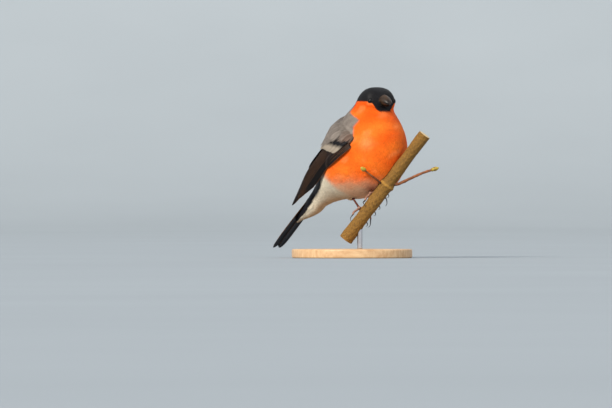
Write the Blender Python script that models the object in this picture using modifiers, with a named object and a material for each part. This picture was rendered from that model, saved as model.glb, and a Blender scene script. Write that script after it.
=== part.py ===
# A cock bullfinch, life size, gripping a short cut length of sloping branch
# that a single rod holds above a plain round base.
#
# World axes, in metres: +Z is up and +Y runs away from someone who looks at
# the bird as it faces them and a little to their right. The origin is the
# centre of the base's underside. Sizes below are written in millimetres.
#
# The bird is laid out in its own body axes: forward along its level heading,
# out to its right side, and up, measured from the middle of its trunk.

import math

import bmesh
import bpy
import numpy as np
from mathutils import Vector

MM = 0.001
GAP = 0.3  # between pieces that touch

# Pose
HEADING = math.radians(50)  # of the trunk, from facing the viewer towards +X
HEAD_TURN = math.radians(19)  # of the head, from the heading towards its right
NECK_AXIS = 8.0  # how far forward of the trunk's middle the head turns about
TRUNK_CENTRE = np.array([12.5, 0.0, 78.0])

# Skin profile in the bird's plane of symmetry, from tail root to bill base:
# back (forward, up), belly (forward, up), half width, share of the head turn
SKIN_PROFILE = np.array(
    [
        [-47.5, -18.0, -45.5, -38.4, 9.0, 0.0],
        [-43.0, -12.5, -37.0, -34.8, 13.0, 0.0],
        [-38.0, -5.0, -24.0, -32.2, 18.5, 0.0],
        [-33.8, 2.8, -8.0, -31.8, 23.4, 0.0],
        [-30.4, 10.0, 7.0, -29.3, 26.4, 0.0],
        [-27.4, 16.8, 19.5, -23.5, 27.9, 0.0],
        [-24.2, 23.0, 28.0, -13.0, 28.0, 0.0],
        [-21.0, 28.8, 31.8, 0.5, 26.8, 0.0],
        [-17.2, 33.6, 31.5, 12.5, 24.3, 0.0],
        [-13.0, 37.8, 28.4, 22.3, 21.0, 0.0],
        [-9.3, 41.5, 24.8, 29.0, 17.4, 0.1],
        [-7.2, 45.0, 22.0, 33.0, 14.9, 0.3],
        [-5.6, 48.2, 20.9, 35.2, 13.6, 0.6],
        [-1.6, 51.8, 20.5, 36.4, 13.0, 0.9],
        [4.4, 54.5, 20.3, 37.3, 12.6, 1.0],
        [10.8, 55.0, 20.1, 38.1, 11.8, 1.0],
        [15.8, 52.8, 19.9, 38.8, 9.6, 1.0],
        [18.6, 49.8, 19.6, 39.6, 6.4, 1.0],
    ]
)
NECK_FROM, HEAD_FROM = 9.6, 11.4  # stations of the profile where the skin parts
SKIN_COLUMNS = 28
TORSO_RINGS, NECK_RINGS, HEAD_RINGS = 17, 4, 14
HEAD_SQUARENESS = 0.2  # how much fuller than an ellipse the head's rings are

# Eyes: station round the profile, angle down from the crown, ball radius
EYE_STATION, EYE_ANGLE, EYE_RADIUS = 15.5, math.radians(99), 2.6
EYE_SINK = 1.5  # of the ball's centre below the skin
LID_THICKNESS = 0.75
LID_RIM = 2.35  # radius of the opening between the lids
LID_LENGTH, LID_HEIGHT = 1.08, 0.94  # shape of the opening against a circle

# Bill, in the head's own axes from the middle of its base
BILL_BASE = (19.1, 44.5)  # forward, up
BILL_DROOP = math.radians(12)
UPPER_BILL = dict(length=10.2, width=9.0, height=5.2)
LOWER_BILL = dict(length=8.2, width=8.4, height=3.8)
BILL_RINGS = [0.0, 0.14, 0.3, 0.46, 0.62, 0.77, 0.89, 0.97, 1.0]  # shares of its length
BILL_RING_POINTS = 11
NOSTRIL = dict(share=0.14, angle=math.radians(54), depth=0.5, reach=0.06, width=0.2)

# Folded wing of the right side as rows from the bend to the tip: its lower
# edge, the crest where it turns over on to the back, and its upper edge, each
# as forward, out, up
WING_ROWS = np.array(
    [
        [10.0, 28.4, 14.5, -11.0, 23.4, 26.5, -15.5, 9.0, 33.5],
        [2.5, 30.2, 7.8, -19.0, 22.3, 20.0, -22.5, 6.5, 27.0],
        [-9.0, 29.6, 0.5, -25.0, 21.2, 12.5, -28.5, 4.8, 18.0],
        [-19.4, 26.6, -5.6, -32.0, 20.8, 3.5, -34.5, 4.3, 7.6],
        [-28.5, 23.4, -13.2, -39.5, 19.6, -4.0, -41.0, 4.5, -2.6],
        [-38.5, 19.5, -21.3, -47.5, 18.4, -12.3, -49.0, 5.6, -12.5],
        [-51.5, 16.6, -28.0, -56.0, 16.0, -22.8, -57.4, 8.8, -23.8],
        [-66.0, 14.0, -37.8, -66.4, 13.4, -36.5, -66.3, 12.2, -36.6],
    ]
)
WING_CREST = 0.6  # share of the way across at which the crest lies
WING_CORE_DEPTH = 5.0  # reaches inside the trunk, where the trunk trims it
VANE_THICKNESS = 0.7

# One vane: shares of its length and its width at each
VANE_STATIONS = np.array([0.0, 0.35, 0.7, 0.9, 1.0])
VANE_OUTLINE = np.array([0.6, 1.0, 0.98, 0.72, 0.26])
COVERT_STATIONS = np.array([0.0, 0.55, 0.86, 1.0])
COVERT_OUTLINE = np.array([0.7, 1.0, 0.82, 0.4])
COVERT_REACH = 0.5  # a wing feather that ends before this share is a covert
BEDDING = 1.1  # how far a wing feather's root lies below its tip's height

# Tiers of one wing, lower edge first. tip and root are shares of the wing's
# length, first and last are shares across it from the lower to the upper edge
FLIGHT_TIPS = [0.93, 1.0, 0.985, 0.95, 0.905, 0.865, 0.83, 0.79, 0.75, 0.71, 0.66, 0.59, 0.51]
FLIGHT = dict(root=0.28, first=0.10, last=0.90, width=7.2, rise=1.3, lift=0.0)
FLIGHT_TIP_FIRST, FLIGHT_TIP_LAST = 0.12, 0.92  # places across at the tips
NARROW_FROM, NARROW_BY = 0.7, 0.3  # feathers whose tips pass this share are narrower
GREATER_COVERTS = dict(
    count=8, root=0.14, tip=(0.44, 0.37), first=0.10, last=0.92, width=6.4, rise=1.2, lift=1.1
)
MEDIAN_COVERTS = dict(
    count=6, root=0.05, tip=(0.25, 0.23), first=0.14, last=0.86, width=6.6, rise=1.1, lift=2.0
)
PRIMARY_COVERTS = dict(
    count=3, root=0.2, tip=(0.56, 0.5), first=0.03, last=0.2, width=4.6, rise=0.9, lift=0.9
)

# Tail: twelve feathers, the middle pair on top
TAIL_ROOT = (-44.5, -20.8)
TAIL_SLOPE = math.radians(45.3)  # below level
TAIL_FEATHERS = 12
TAIL_LENGTH = (68.0, 71.0)  # middle pair, outermost pair
TAIL_FEATHER_WIDTH = 7.4
TAIL_OUTLINE = np.array([0.7, 0.9, 1.0, 0.86, 0.42])
TAIL_HEIGHT = 2.2  # of the middle pair over the tail's axis
TAIL_SINK = 1.5  # of the roots into the tail's block
TAIL_ROOT_SPREAD, TAIL_TIP_SPREAD = 0.5, 0.62  # between neighbours
TAIL_STEP = 0.42  # each outer feather lies this much below its inner neighbour
# Root of the tail with its upper and lower coverts, from the trunk's end
# backwards: top (forward, up), bottom (forward, up), half width
TAIL_COVERTS = np.array(
    [
        [-51.6, -23.4, -50.0, -42.4, 8.0],
        [-56.0, -28.8, -56.4, -45.4, 6.9],
        [-60.4, -33.8, -62.0, -47.2, 5.6],
        [-64.4, -38.6, -66.4, -48.4, 4.2],
        [-68.4, -44.0, -70.0, -49.8, 2.4],
    ]
)
UPPER_COVERTS = dict(length=27.0, width=5.6, places=(-2.6, 0.0, 2.6), start=6.0, height=5.2, fall=2.4)
UPPER_COVERT_OUTLINE = np.array([1.0, 1.0, 0.9, 0.62, 0.25])

# Branch: a point on its axis under the bird's left foot, and its direction
BRANCH_SLOPE = math.radians(53.1)
BRANCH_TOWARDS_VIEWER = math.radians(8)
BRANCH_AT_LEFT_FOOT = np.array([16.4, -17.5, 42.9])
BRANCH_BELOW, BRANCH_ABOVE = 36.0, 67.0  # lengths either side of that point
BRANCH_RADIUS = 5.4
BRANCH_TOP_RADIUS = 4.7
NODE_AT = 17.5  # the swelling that the twigs leave from, along the branch
NODE_SWELL, NODE_REACH = 1.0, 3.2

# The bud twig in front of the belly and the longer side twig: each a line of
# (forward of the node along the branch, across to the left, towards the back)
BUD_TWIG = [(-1.0, 4.0, -3.4), (-0.3, 9.5, -6.4), (0.2, 15.6, -10.0), (0.7, 21.4, -12.8)]
SIDE_TWIG = [
    (4.0, -3.6, -1.0),
    (6.6, -6.8, -1.6),
    (18.0, -12.8, -2.4),
    (25.5, -17.0, -2.8),
    (33.0, -22.2, -3.0),
]
TWIGS = {  # line, radius at the branch and at the tip
    "perch_bud_twig": (BUD_TWIG, 0.75, 0.6),
    "perch_side_twig": (SIDE_TWIG, 1.25, 0.85),
}
TIP_BUD_LENGTH, TIP_BUD_RADIUS = 4.4, 1.25
SIDE_BUD_LENGTH, SIDE_BUD_RADIUS = 3.1, 0.88
BUD_OUTLINE = [0.55, 0.9, 1.0, 0.92, 0.7, 0.4, 0.12]

# Feet: each toe and claw as a line of points given by the angle round the
# branch in degrees, from its upper left side towards the back, the place
# along the branch, and the height of the toe's middle off the bark
HEELS = {"left": (7.5, 2.5, -17.0), "right": (-12.0, 5.0, -30.5)}  # in body axes
FEET = {
    "left": {
        "palm": (22, 4.5, 1.7),
        "hind": [(22, 4.5, 1.5), (8, 2.2, 1.5), (0, -0.2, 1.6), (-6, -2.2, 1.2)],
        "inner": [(22, 4.5, 1.4), (60, 8.5, 1.05), (98, 10.8, 1.0), (130, 12.0, 1.0)],
        "middle": [(22, 4.5, 1.4), (66, 6.0, 1.05), (110, 7.8, 1.05), (150, 8.8, 1.1)],
        "outer": [(22, 4.5, 1.4), (60, 2.4, 1.05), (96, 1.2, 1.0), (130, 0.8, 1.0)],
    },
    "right": {
        "palm": (24, -10.0, 1.7),
        "hind": [(24, -10.0, 1.5), (8, -12.4, 1.8), (0, -14.8, 2.5), (-4, -17.0, 2.0)],
        "inner": [(24, -10.0, 1.4), (60, -12.6, 1.05), (98, -14.4, 1.0), (130, -15.4, 1.0)],
        "middle": [(24, -10.0, 1.4), (68, -9.6, 1.05), (112, -9.8, 1.05), (154, -11.6, 1.5)],
        "outer": [(24, -10.0, 1.4), (62, -7.2, 1.05), (100, -5.6, 1.0), (134, -5.0, 1.0)],
    },
}
CLAWS = {
    "left": {
        "hind": [(-9, -2.9, 1.2), (-24, -3.9, 2.0), (-44, -4.8, 1.5), (-60, -5.4, 0.6)],
        "inner": [(134.5, 12.0, 1.1), (148, 11.6, 2.0), (162, 10.6, 2.0), (174, 9.6, 1.0)],
        "middle": [(154, 8.5, 1.3), (166, 7.2, 2.9), (176, 5.2, 4.0), (183, 3.6, 3.7)],
        "outer": [(134.5, 0.8, 1.1), (148, 0.0, 2.0), (162, -1.0, 2.0), (174, -2.0, 1.0)],
    },
    "right": {
        "hind": [(-5, -17.8, 2.0), (-9, -19.4, 2.1), (-18, -20.8, 1.5), (-30, -21.6, 0.6)],
        "inner": [(134.5, -15.6, 1.1), (148, -16.4, 2.0), (162, -17.4, 2.0), (174, -18.4, 1.0)],
        "middle": [(157, -12.4, 1.7), (164, -14.4, 3.0), (171, -16.4, 3.5), (177, -18.0, 2.8)],
        "outer": [(138.5, -5.2, 1.1), (152, -6.0, 2.0), (165, -7.0, 2.0), (176, -8.0, 1.0)],
    },
}
TOE_RADIUS = {"hind": 0.85, "inner": 0.7, "middle": 0.8, "outer": 0.7}
TOE_JOINTS = [1.15, 1.0, 1.1, 0.92, 1.08, 0.9, 1.04, 0.95, 0.85]  # swellings along a toe
TARSUS_RADIUS = 0.85
TARSUS_OUTLINE = [1.2, 0.95, 0.9, 0.9, 0.98, 1.1]
CLAW_RADIUS = 0.55
CLAW_TAPER = 0.82  # share of the radius lost by the tip
PAD_RADIUS = 1.25
TOE_ROOM = 2.3  # the belly keeps this far off the bark where the toes pass
LEG_HOLLOW = 4.9  # radius of the hollow that the belly leaves round a foot

# Display stand
BASE_RADIUS, BASE_THICKNESS, BASE_BEVEL = 47.0, 7.0, 1.2
ROD_RADIUS = 2.0
ROD_AT = -17.5  # along the branch, before its rise to the underside


def clear_scene():
    for obj in list(bpy.data.objects):
        bpy.data.objects.remove(obj)


def new_collection(name):
    found = bpy.data.collections.new(name)
    bpy.context.scene.collection.children.link(found)
    return found


clear_scene()
BIRD = new_collection("bullfinch")
LOOSE = new_collection("being_joined")


# Materials

def material(name, colour, roughness, metallic=0.0):
    made = bpy.data.materials.new(name)
    made.use_nodes = True
    shader = made.node_tree.nodes["Principled BSDF"]
    shader.inputs["Base Color"].default_value = (*colour, 1.0)
    shader.inputs["Roughness"].default_value = roughness
    shader.inputs["Metallic"].default_value = metallic
    made.diffuse_color = (*colour, 1.0)
    return made


ORANGE_PLUMAGE = material("orange_plumage", (0.84, 0.16, 0.02), 0.8)
CAP_PLUMAGE = material("black_cap", (0.012, 0.012, 0.018), 0.45)
FLIGHT_PLUMAGE = material("black_flight_feathers", (0.02, 0.018, 0.03), 0.4)
BILL_HORN = material("black_bill", (0.03, 0.026, 0.024), 0.35)
EYE_GLASS = material("dark_eye", (0.01, 0.006, 0.004), 0.08)
LEG_SKIN = material("brown_leg", (0.2, 0.06, 0.035), 0.5)
CLAW_HORN = material("dark_claw", (0.03, 0.022, 0.02), 0.35)
BARK = material("branch_bark", (0.36, 0.22, 0.07), 0.8)
BASE_WOOD = material("beech_base", (0.52, 0.38, 0.24), 0.5)
ROD_STEEL = material("steel_rod", (0.6, 0.6, 0.62), 0.3, 1.0)


# Axes and curves

AHEAD = np.array([math.sin(HEADING), -math.cos(HEADING), 0.0])
TO_RIGHT = np.array([-math.cos(HEADING), -math.sin(HEADING), 0.0])
UP = np.array([0.0, 0.0, 1.0])


def to_world(body, turn_share=0.0):
    """Forward, out to the right, up in mm about the trunk, to world metres."""
    body = np.atleast_2d(np.asarray(body, float))
    angle = HEAD_TURN * np.asarray(turn_share, float)
    ahead, out = body[:, 0] - NECK_AXIS, body[:, 1]
    turned_ahead = NECK_AXIS + ahead * np.cos(angle) - out * np.sin(angle)
    turned_out = ahead * np.sin(angle) + out * np.cos(angle)
    world = np.outer(turned_ahead, AHEAD) + np.outer(turned_out, TO_RIGHT)
    return (world + np.outer(body[:, 2], UP) + TRUNK_CENTRE) * MM


def along_rows(rows, at):
    """A smooth curve through the rows of a table, read at row numbers."""
    rows, at = np.asarray(rows, float), np.atleast_1d(np.asarray(at, float))
    last = len(rows) - 1
    start = np.clip(np.floor(at).astype(int), 0, last - 1)
    t = (at - start)[:, None]
    before, after = rows[np.maximum(start - 1, 0)], rows[np.minimum(start + 2, last)]
    p, q = rows[start], rows[start + 1]
    leave, arrive = (q - before) / 2, (after - p) / 2
    return (
        (2 * t**3 - 3 * t**2 + 1) * p
        + (t**3 - 2 * t**2 + t) * leave
        + (3 * t**2 - 2 * t**3) * q
        + (t**3 - t**2) * arrive
    )


def unit(v):
    return v / np.linalg.norm(v, axis=-1, keepdims=True)


# Meshes

def add_mesh(name, points, faces, finish, collection=BIRD):
    mesh = bpy.data.meshes.new(name)
    mesh.from_pydata([tuple(p) for p in points], [], [tuple(f) for f in faces])
    made = bmesh.new()
    made.from_mesh(mesh)
    bmesh.ops.recalc_face_normals(made, faces=made.faces)
    made.to_mesh(mesh)
    made.free()
    mesh.materials.append(finish)
    mesh.shade_smooth()
    mesh.set_sharp_from_angle(angle=math.radians(40))
    obj = bpy.data.objects.new(name, mesh)
    collection.objects.link(obj)
    return obj


def loft(name, rings, finish, collection=BIRD):
    """A closed body through rings of equal point counts, with flat ends."""
    rings = np.asarray(rings, float)
    count, around = rings.shape[:2]
    faces = []
    for i in range(count - 1):
        for j in range(around):
            k = (j + 1) % around
            here, beyond = i * around, (i + 1) * around
            faces.append((here + j, here + k, beyond + k, beyond + j))
    faces.append(tuple(range(around)))
    faces.append(tuple(range(count * around - 1, (count - 1) * around - 1, -1)))
    return add_mesh(name, rings.reshape(-1, 3), faces, finish, collection)


def tube(name, points, radii, finish, collection=LOOSE, sides=1):
    """A curve with a round bevel whose radius follows radii, made a mesh."""
    curve = bpy.data.curves.new(name, "CURVE")
    curve.dimensions = "3D"
    curve.bevel_depth = 1.0
    curve.bevel_resolution = sides
    curve.use_fill_caps = True
    line = curve.splines.new("POLY")
    line.points.add(len(points) - 1)
    for spot, place, radius in zip(line.points, points, radii):
        spot.co = (*place, 1.0)
        spot.radius = radius
    shaped = bpy.data.objects.new(name + "_curve", curve)
    LOOSE.objects.link(shaped)
    graph = bpy.context.evaluated_depsgraph_get()
    mesh = bpy.data.meshes.new_from_object(shaped.evaluated_get(graph))
    bpy.data.objects.remove(shaped)
    made = bmesh.new()
    made.from_mesh(mesh)
    bmesh.ops.remove_doubles(made, verts=made.verts, dist=0.00001)
    bmesh.ops.recalc_face_normals(made, faces=made.faces)
    made.to_mesh(mesh)
    made.free()
    mesh.name = name
    mesh.materials.append(finish)
    mesh.shade_smooth()
    obj = bpy.data.objects.new(name, mesh)
    collection.objects.link(obj)
    return obj


def ball(name, centre, radius, finish, rings=10, collection=LOOSE):
    mesh = bpy.data.meshes.new(name)
    made = bmesh.new()
    bmesh.ops.create_uvsphere(made, u_segments=2 * rings, v_segments=rings, radius=radius)
    bmesh.ops.translate(made, verts=made.verts, vec=Vector(centre))
    made.to_mesh(mesh)
    made.free()
    mesh.materials.append(finish)
    mesh.shade_smooth()
    obj = bpy.data.objects.new(name, mesh)
    collection.objects.link(obj)
    return obj


def keep_largest(obj):
    """Leaves only the largest closed surface of a joined node. Surfaces that
    meet at a single corner count as apart."""
    made = bmesh.new()
    made.from_mesh(obj.data)
    bmesh.ops.triangulate(made, faces=made.faces)
    bmesh.ops.dissolve_degenerate(made, edges=made.edges, dist=0.000001)
    unseen, islands = set(made.faces), []
    while unseen:
        reached, fringe = [], [unseen.pop()]
        while fringe:
            here = fringe.pop()
            reached.append(here)
            for edge in here.edges:
                for other in edge.link_faces:
                    if other in unseen:
                        unseen.discard(other)
                        fringe.append(other)
        islands.append(reached)
    islands.sort(key=lambda part: sum(face.calc_area() for face in part))
    loose = [face for part in islands[:-1] for face in part]
    bmesh.ops.delete(made, geom=loose, context="FACES")
    made.to_mesh(obj.data)
    made.free()


def combine(obj, others, operation, solver="EXACT"):
    """Applies one Boolean of all the others to obj, and removes them."""
    group = bpy.data.collections.new("operands")
    bpy.context.scene.collection.children.link(group)
    for other in others:
        for home in list(other.users_collection):
            home.objects.unlink(other)
        group.objects.link(other)
    modifier = obj.modifiers.new("join", "BOOLEAN")
    modifier.operation = operation
    modifier.solver = solver
    modifier.operand_type = "COLLECTION"
    modifier.collection = group
    graph = bpy.context.evaluated_depsgraph_get()
    result = bpy.data.meshes.new_from_object(obj.evaluated_get(graph))
    obj.modifiers.clear()
    obj.data = result
    for other in others:
        bpy.data.objects.remove(other)
    bpy.data.collections.remove(group)
    keep_largest(obj)
    for polygon in result.polygons:
        polygon.material_index = 0
    result.shade_smooth()
    result.set_sharp_from_angle(angle=math.radians(40))
    for home in list(obj.users_collection):
        home.objects.unlink(obj)
    BIRD.objects.link(obj)
    return obj


# Trunk, neck and head: one skin, parted by thin flat gaps

def skin_rings(stations, grow=0.0, columns=SKIN_COLUMNS):
    """Rings of the skin at profile stations: half an ellipse over the back
    and half under the belly, both as wide as the profile says."""
    rows = along_rows(SKIN_PROFILE, stations)
    angle = np.linspace(0, 2 * math.pi, columns, endpoint=False)
    rings = []
    for back_a, back_h, belly_a, belly_h, half_width, turn in rows:
        back, belly = np.array([back_a, 0, back_h]), np.array([belly_a, 0, belly_h])
        middle, rise = (back + belly) / 2, (back - belly) / 2
        rise = rise * (1 + grow / np.linalg.norm(rise))
        power = 1 - HEAD_SQUARENESS * turn
        over, out = np.cos(angle), np.sin(angle)
        over = np.sign(over) * abs(over) ** power
        out = np.sign(out) * abs(out) ** power
        ring = middle + np.outer(over, rise) + np.outer(out, [0, half_width + grow, 0])
        rings.append(to_world(ring, turn))
    return np.array(rings)


def ring_plane(ring):
    """The direction square to a ring, from tail towards bill."""
    across = ring[len(ring) // 4] - ring[3 * len(ring) // 4]
    rise = ring[0] - ring[len(ring) // 2]
    return unit(np.cross(rise, across))


def skin_part(name, first, last, count, finish, gap_behind):
    rings = skin_rings(np.linspace(first, last, count))
    if gap_behind:
        # The first ring keeps the plane of the one it meets, a gap away
        rings[0] = rings[0] + GAP * MM * ring_plane(rings[0])
    return loft(name, rings, finish)


def make_head():
    head = skin_part("head", HEAD_FROM, len(SKIN_PROFILE) - 1, HEAD_RINGS, CAP_PLUMAGE, True)
    sockets, lids = [], []
    for side, name in ((1, "right"), (-1, "left")):
        centre, outward = eye_seat(side)
        sockets.append(ball("socket", centre, (EYE_RADIUS + GAP) * MM, CAP_PLUMAGE, 9))
        lids.append(make_lids(centre, outward))
        ball("eye_" + name, centre, EYE_RADIUS * MM, EYE_GLASS, 8, BIRD)
    combine(head, lids, "UNION")
    combine(head, sockets, "DIFFERENCE")


def eye_seat(side):
    """Centre of an eyeball and the way that it looks."""
    ring = skin_rings([EYE_STATION - 0.3, EYE_STATION, EYE_STATION + 0.3], columns=120)
    column = round(EYE_ANGLE / (2 * math.pi) * 120) * side
    seat = ring[1][column]
    along = ring[2][column] - ring[0][column]
    down = ring[1][(column + 3) % 120] - ring[1][(column - 3) % 120]
    outward = unit(np.cross(along, down))
    if np.dot(outward, seat - ring[1].mean(axis=0)) < 0:
        outward = -outward
    return seat - outward * EYE_SINK * MM, outward


def make_lids(centre, outward):
    """The ring of bare lid round an eye, an oval a little longer than high."""
    level = unit(np.cross(outward, UP))
    upright = np.cross(level, outward)
    reach = math.sqrt(EYE_RADIUS**2 - LID_RIM**2) + GAP
    angle = np.linspace(0, 2 * math.pi, 16, endpoint=False)
    section = np.linspace(0, 2 * math.pi, 5, endpoint=False)
    rings = []
    for a in angle:
        spoke = math.cos(a) * level * LID_LENGTH + math.sin(a) * upright * LID_HEIGHT
        middle = centre + (spoke * (LID_RIM + LID_THICKNESS / 3) + outward * reach) * MM
        ways = [math.cos(s) * unit(spoke) + math.sin(s) * outward for s in section]
        rings.append([middle + way * LID_THICKNESS * MM for way in ways])
    points = np.array(rings).reshape(-1, 3)
    n, m = len(angle), len(section)
    faces = []
    for i in range(n):
        for j in range(m):
            here, beyond, k = i * m, ((i + 1) % n) * m, (j + 1) % m
            faces.append((here + j, beyond + j, beyond + k, here + k))
    return add_mesh("lids", points, faces, CAP_PLUMAGE, LOOSE)


# Bill

def bill_point(ahead, out, up):
    """A point from the bill's base, which stands against the head's end, out
    along the bill's drooping axis."""
    forward = BILL_BASE[0] + ahead * math.cos(BILL_DROOP) - 0.098 * up
    height = BILL_BASE[1] - ahead * math.sin(BILL_DROOP) + up
    return to_world([forward, out, height], 1.0)[0]


def mouth_line(share):
    """Height of the cutting edges: down at the gape, level, down at the tip."""
    return -0.9 * math.exp(-((share / 0.16) ** 2)) - 1.5 * max(0.0, share - 0.6) ** 1.5


def nostril_dent(share, angle):
    """Depth of the two nostrils below the upper mandible's surface."""
    along = ((share - NOSTRIL["share"]) / NOSTRIL["reach"]) ** 2
    depth = 0.0
    for middle in (NOSTRIL["angle"], math.pi - NOSTRIL["angle"]):
        depth += NOSTRIL["depth"] * math.exp(-along - ((angle - middle) / NOSTRIL["width"]) ** 2)
    return depth


def make_mandible(name, size, way):
    """Half a blunt cone. way is 1 for the upper mandible and -1 for the lower."""
    angles = np.linspace(0, math.pi, BILL_RING_POINTS)
    rings = []
    for share in BILL_RINGS:
        swell = math.sqrt(max(0.0, 1 - share**2.1))
        width = max(size["width"] / 2 * swell, 0.28)
        height = max(size["height"] * swell ** (1.0 if way > 0 else 0.9), 0.35)
        start = GAP + share * size["length"]
        edge = mouth_line(start / UPPER_BILL["length"]) + way * GAP / 2
        ring = []
        for a in angles:
            sunk = nostril_dent(share, a) if way > 0 else 0.0
            out = (width - sunk) * math.cos(a)
            ring.append(bill_point(start, out, edge + way * (height - sunk) * math.sin(a)))
        rings.append(ring)
    return loft(name, rings, BILL_HORN)


# Feather vanes

def make_vane(centre_line, across, normal, widths, finish, thickness=VANE_THICKNESS):
    """A flat tapered vane: a closed strip along centre_line with a shallow
    roof, its faces split alike above and below."""
    rows = []
    for spot, side, up, width in zip(centre_line, across, normal, widths):
        half = thickness * MM / 2
        left, right = spot - side * width * MM / 2, spot + side * width * MM / 2
        rows += [left - up * half, spot - up * half * 0.6, right - up * half]
        rows += [left + up * half, spot + up * half * 1.6, right + up * half]
    faces, stride = [], 6
    for i in range(len(centre_line) - 1):
        a, b = i * stride, (i + 1) * stride
        for j in range(2):
            c, d = a + j, b + j
            faces += [(c, d, d + 1), (c, d + 1, c + 1)]
            faces += [(c + 3, d + 4, d + 3), (c + 3, c + 4, d + 4)]
        faces += [(a, a + 3, b + 3, b), (a + 2, b + 2, b + 5, a + 5)]
    e = (len(centre_line) - 1) * stride
    faces += [(0, 1, 4, 3), (1, 2, 5, 4)]
    faces += [(e, e + 3, e + 4, e + 1), (e + 1, e + 4, e + 5, e + 2)]
    return add_mesh("vane", rows, faces, finish, LOOSE)


# Wings

def wing_surface(along, across):
    """The parabola through lower edge, crest and upper edge at each row."""
    rows = along_rows(WING_ROWS, along * (len(WING_ROWS) - 1))
    low, crest, high = rows[:, :3], rows[:, 3:6], rows[:, 6:]
    m, c = np.asarray(across)[:, None], WING_CREST
    below = low * (m - c) * (m - 1) / c
    middle = crest * m * (m - 1) / (c * (c - 1))
    above = high * m * (m - c) / (1 - c)
    return below + middle + above


def wing_sheet(along, across, lift=0.0):
    """Points on the folded right wing's outer sheet, in body millimetres, and
    the sheet's outward normals. along and across are shares, lift is in mm."""
    along, across = np.broadcast_arrays(np.atleast_1d(along).astype(float), across)
    step = 0.01
    down_wing = wing_surface(along + step, across) - wing_surface(along - step, across)
    up_wing = wing_surface(along, across + step) - wing_surface(along, across - step)
    normal = unit(np.cross(down_wing, up_wing))
    normal = normal * np.sign(normal @ np.array([-0.5, 1.0, 0.3]))[:, None]
    return wing_surface(along, across) + normal * np.atleast_1d(lift)[:, None], normal


def mirrored(body, side):
    return np.asarray(body) * np.array([1.0, side, 1.0])


def way_in_world(ways, side=1):
    """Directions in the bird's axes as unit directions in the world."""
    return unit(to_world(mirrored(ways, side)) - to_world([[0, 0, 0]]))


def wing_vane(side, root, tip, root_place, tip_place, width, rise, lift):
    """One vane on the wing sheet, tilted so its lower edge stands over the
    neighbour below it and its upper edge lies under the one above."""
    shares, outline = VANE_STATIONS, VANE_OUTLINE
    if tip < COVERT_REACH:
        shares, outline = COVERT_STATIONS, COVERT_OUTLINE
    along = root + (tip - root) * shares
    place = root_place + (tip_place - root_place) * shares
    bedding = lift - BEDDING * (1 - shares) ** 2
    centre, normal = wing_sheet(along, place, bedding)
    nearby, _ = wing_sheet(along, place + 0.02, bedding)
    across = unit(nearby - centre)
    tilt = math.atan2(rise, width)
    leaning = unit(across * math.cos(tilt) - normal * math.sin(tilt))
    roof = unit(normal * math.cos(tilt) + across * math.sin(tilt))
    line = to_world(mirrored(centre, side))
    leaning, roof = way_in_world(leaning, side), way_in_world(roof, side)
    return make_vane(line, leaning, roof, width * outline, FLIGHT_PLUMAGE)


def tier(side, size):
    """A row of coverts, evenly set across the wing."""
    vanes = []
    for share in np.linspace(0, 1, size["count"]):
        place = size["first"] + (size["last"] - size["first"]) * share
        tip = size["tip"][0] + (size["tip"][1] - size["tip"][0]) * share
        vanes.append(
            wing_vane(
                side, size["root"], tip, place, place, size["width"], size["rise"], size["lift"]
            )
        )
    return vanes


def wing_core(side):
    """The fleshy fore part: a closed lens under the coverts, deep enough to
    be trimmed to the trunk."""
    rings = []
    for along in (0.0, 0.04, 0.12, 0.24, 0.36, 0.48, 0.57, 0.62):
        ends = min(1.0, along / 0.1 + 0.45) * min(1.0, (0.64 - along) / 0.16 + 0.2)
        places = np.linspace(0.5 - 0.44 * ends, 0.5 + 0.44 * ends, 7)
        over = 0.9 * np.sin(np.linspace(0, math.pi, 7)) * ends + 0.1
        deep = np.full(7, -WING_CORE_DEPTH * ends - 0.6)
        top, _ = wing_sheet(np.full(7, along), places, over)
        under, _ = wing_sheet(np.full(7, along), places[::-1], deep)
        rings.append(to_world(mirrored(np.vstack([top, under]), side)))
    return loft("wing_core", rings, FLIGHT_PLUMAGE, LOOSE)


def make_wing(side, name):
    vanes = []
    count = len(FLIGHT_TIPS)
    for i, tip in enumerate(FLIGHT_TIPS):
        share = i / (count - 1)
        root_place = FLIGHT["first"] + (FLIGHT["last"] - FLIGHT["first"]) * share
        tip_place = FLIGHT_TIP_FIRST + (FLIGHT_TIP_LAST - FLIGHT_TIP_FIRST) * share
        beyond = max(0.0, tip - NARROW_FROM) / (1 - NARROW_FROM)
        width = FLIGHT["width"] * (1 - NARROW_BY * beyond)
        vanes.append(
            wing_vane(
                side, FLIGHT["root"], tip, root_place, tip_place, width, FLIGHT["rise"], FLIGHT["lift"]
            )
        )
    for size in (PRIMARY_COVERTS, GREATER_COVERTS, MEDIAN_COVERTS):
        vanes += tier(side, size)
    wing = combine(wing_core(side), vanes, "UNION")
    wing.name = name
    rings = skin_rings(np.linspace(0, HEAD_FROM, 24), GAP * 1.5)
    trunk = loft("trimmer", rings, FLIGHT_PLUMAGE, LOOSE)
    return combine(wing, [trunk], "DIFFERENCE")


# Tail

TAIL_BACK = np.array([-math.cos(TAIL_SLOPE), 0.0, -math.sin(TAIL_SLOPE)])
TAIL_OVER = np.array([-math.sin(TAIL_SLOPE), 0.0, math.cos(TAIL_SLOPE)])


def tail_point(back, out, over):
    root = np.array([TAIL_ROOT[0], 0.0, TAIL_ROOT[1]])
    return root + back * TAIL_BACK + np.array([0.0, out, 0.0]) + over * TAIL_OVER


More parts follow.
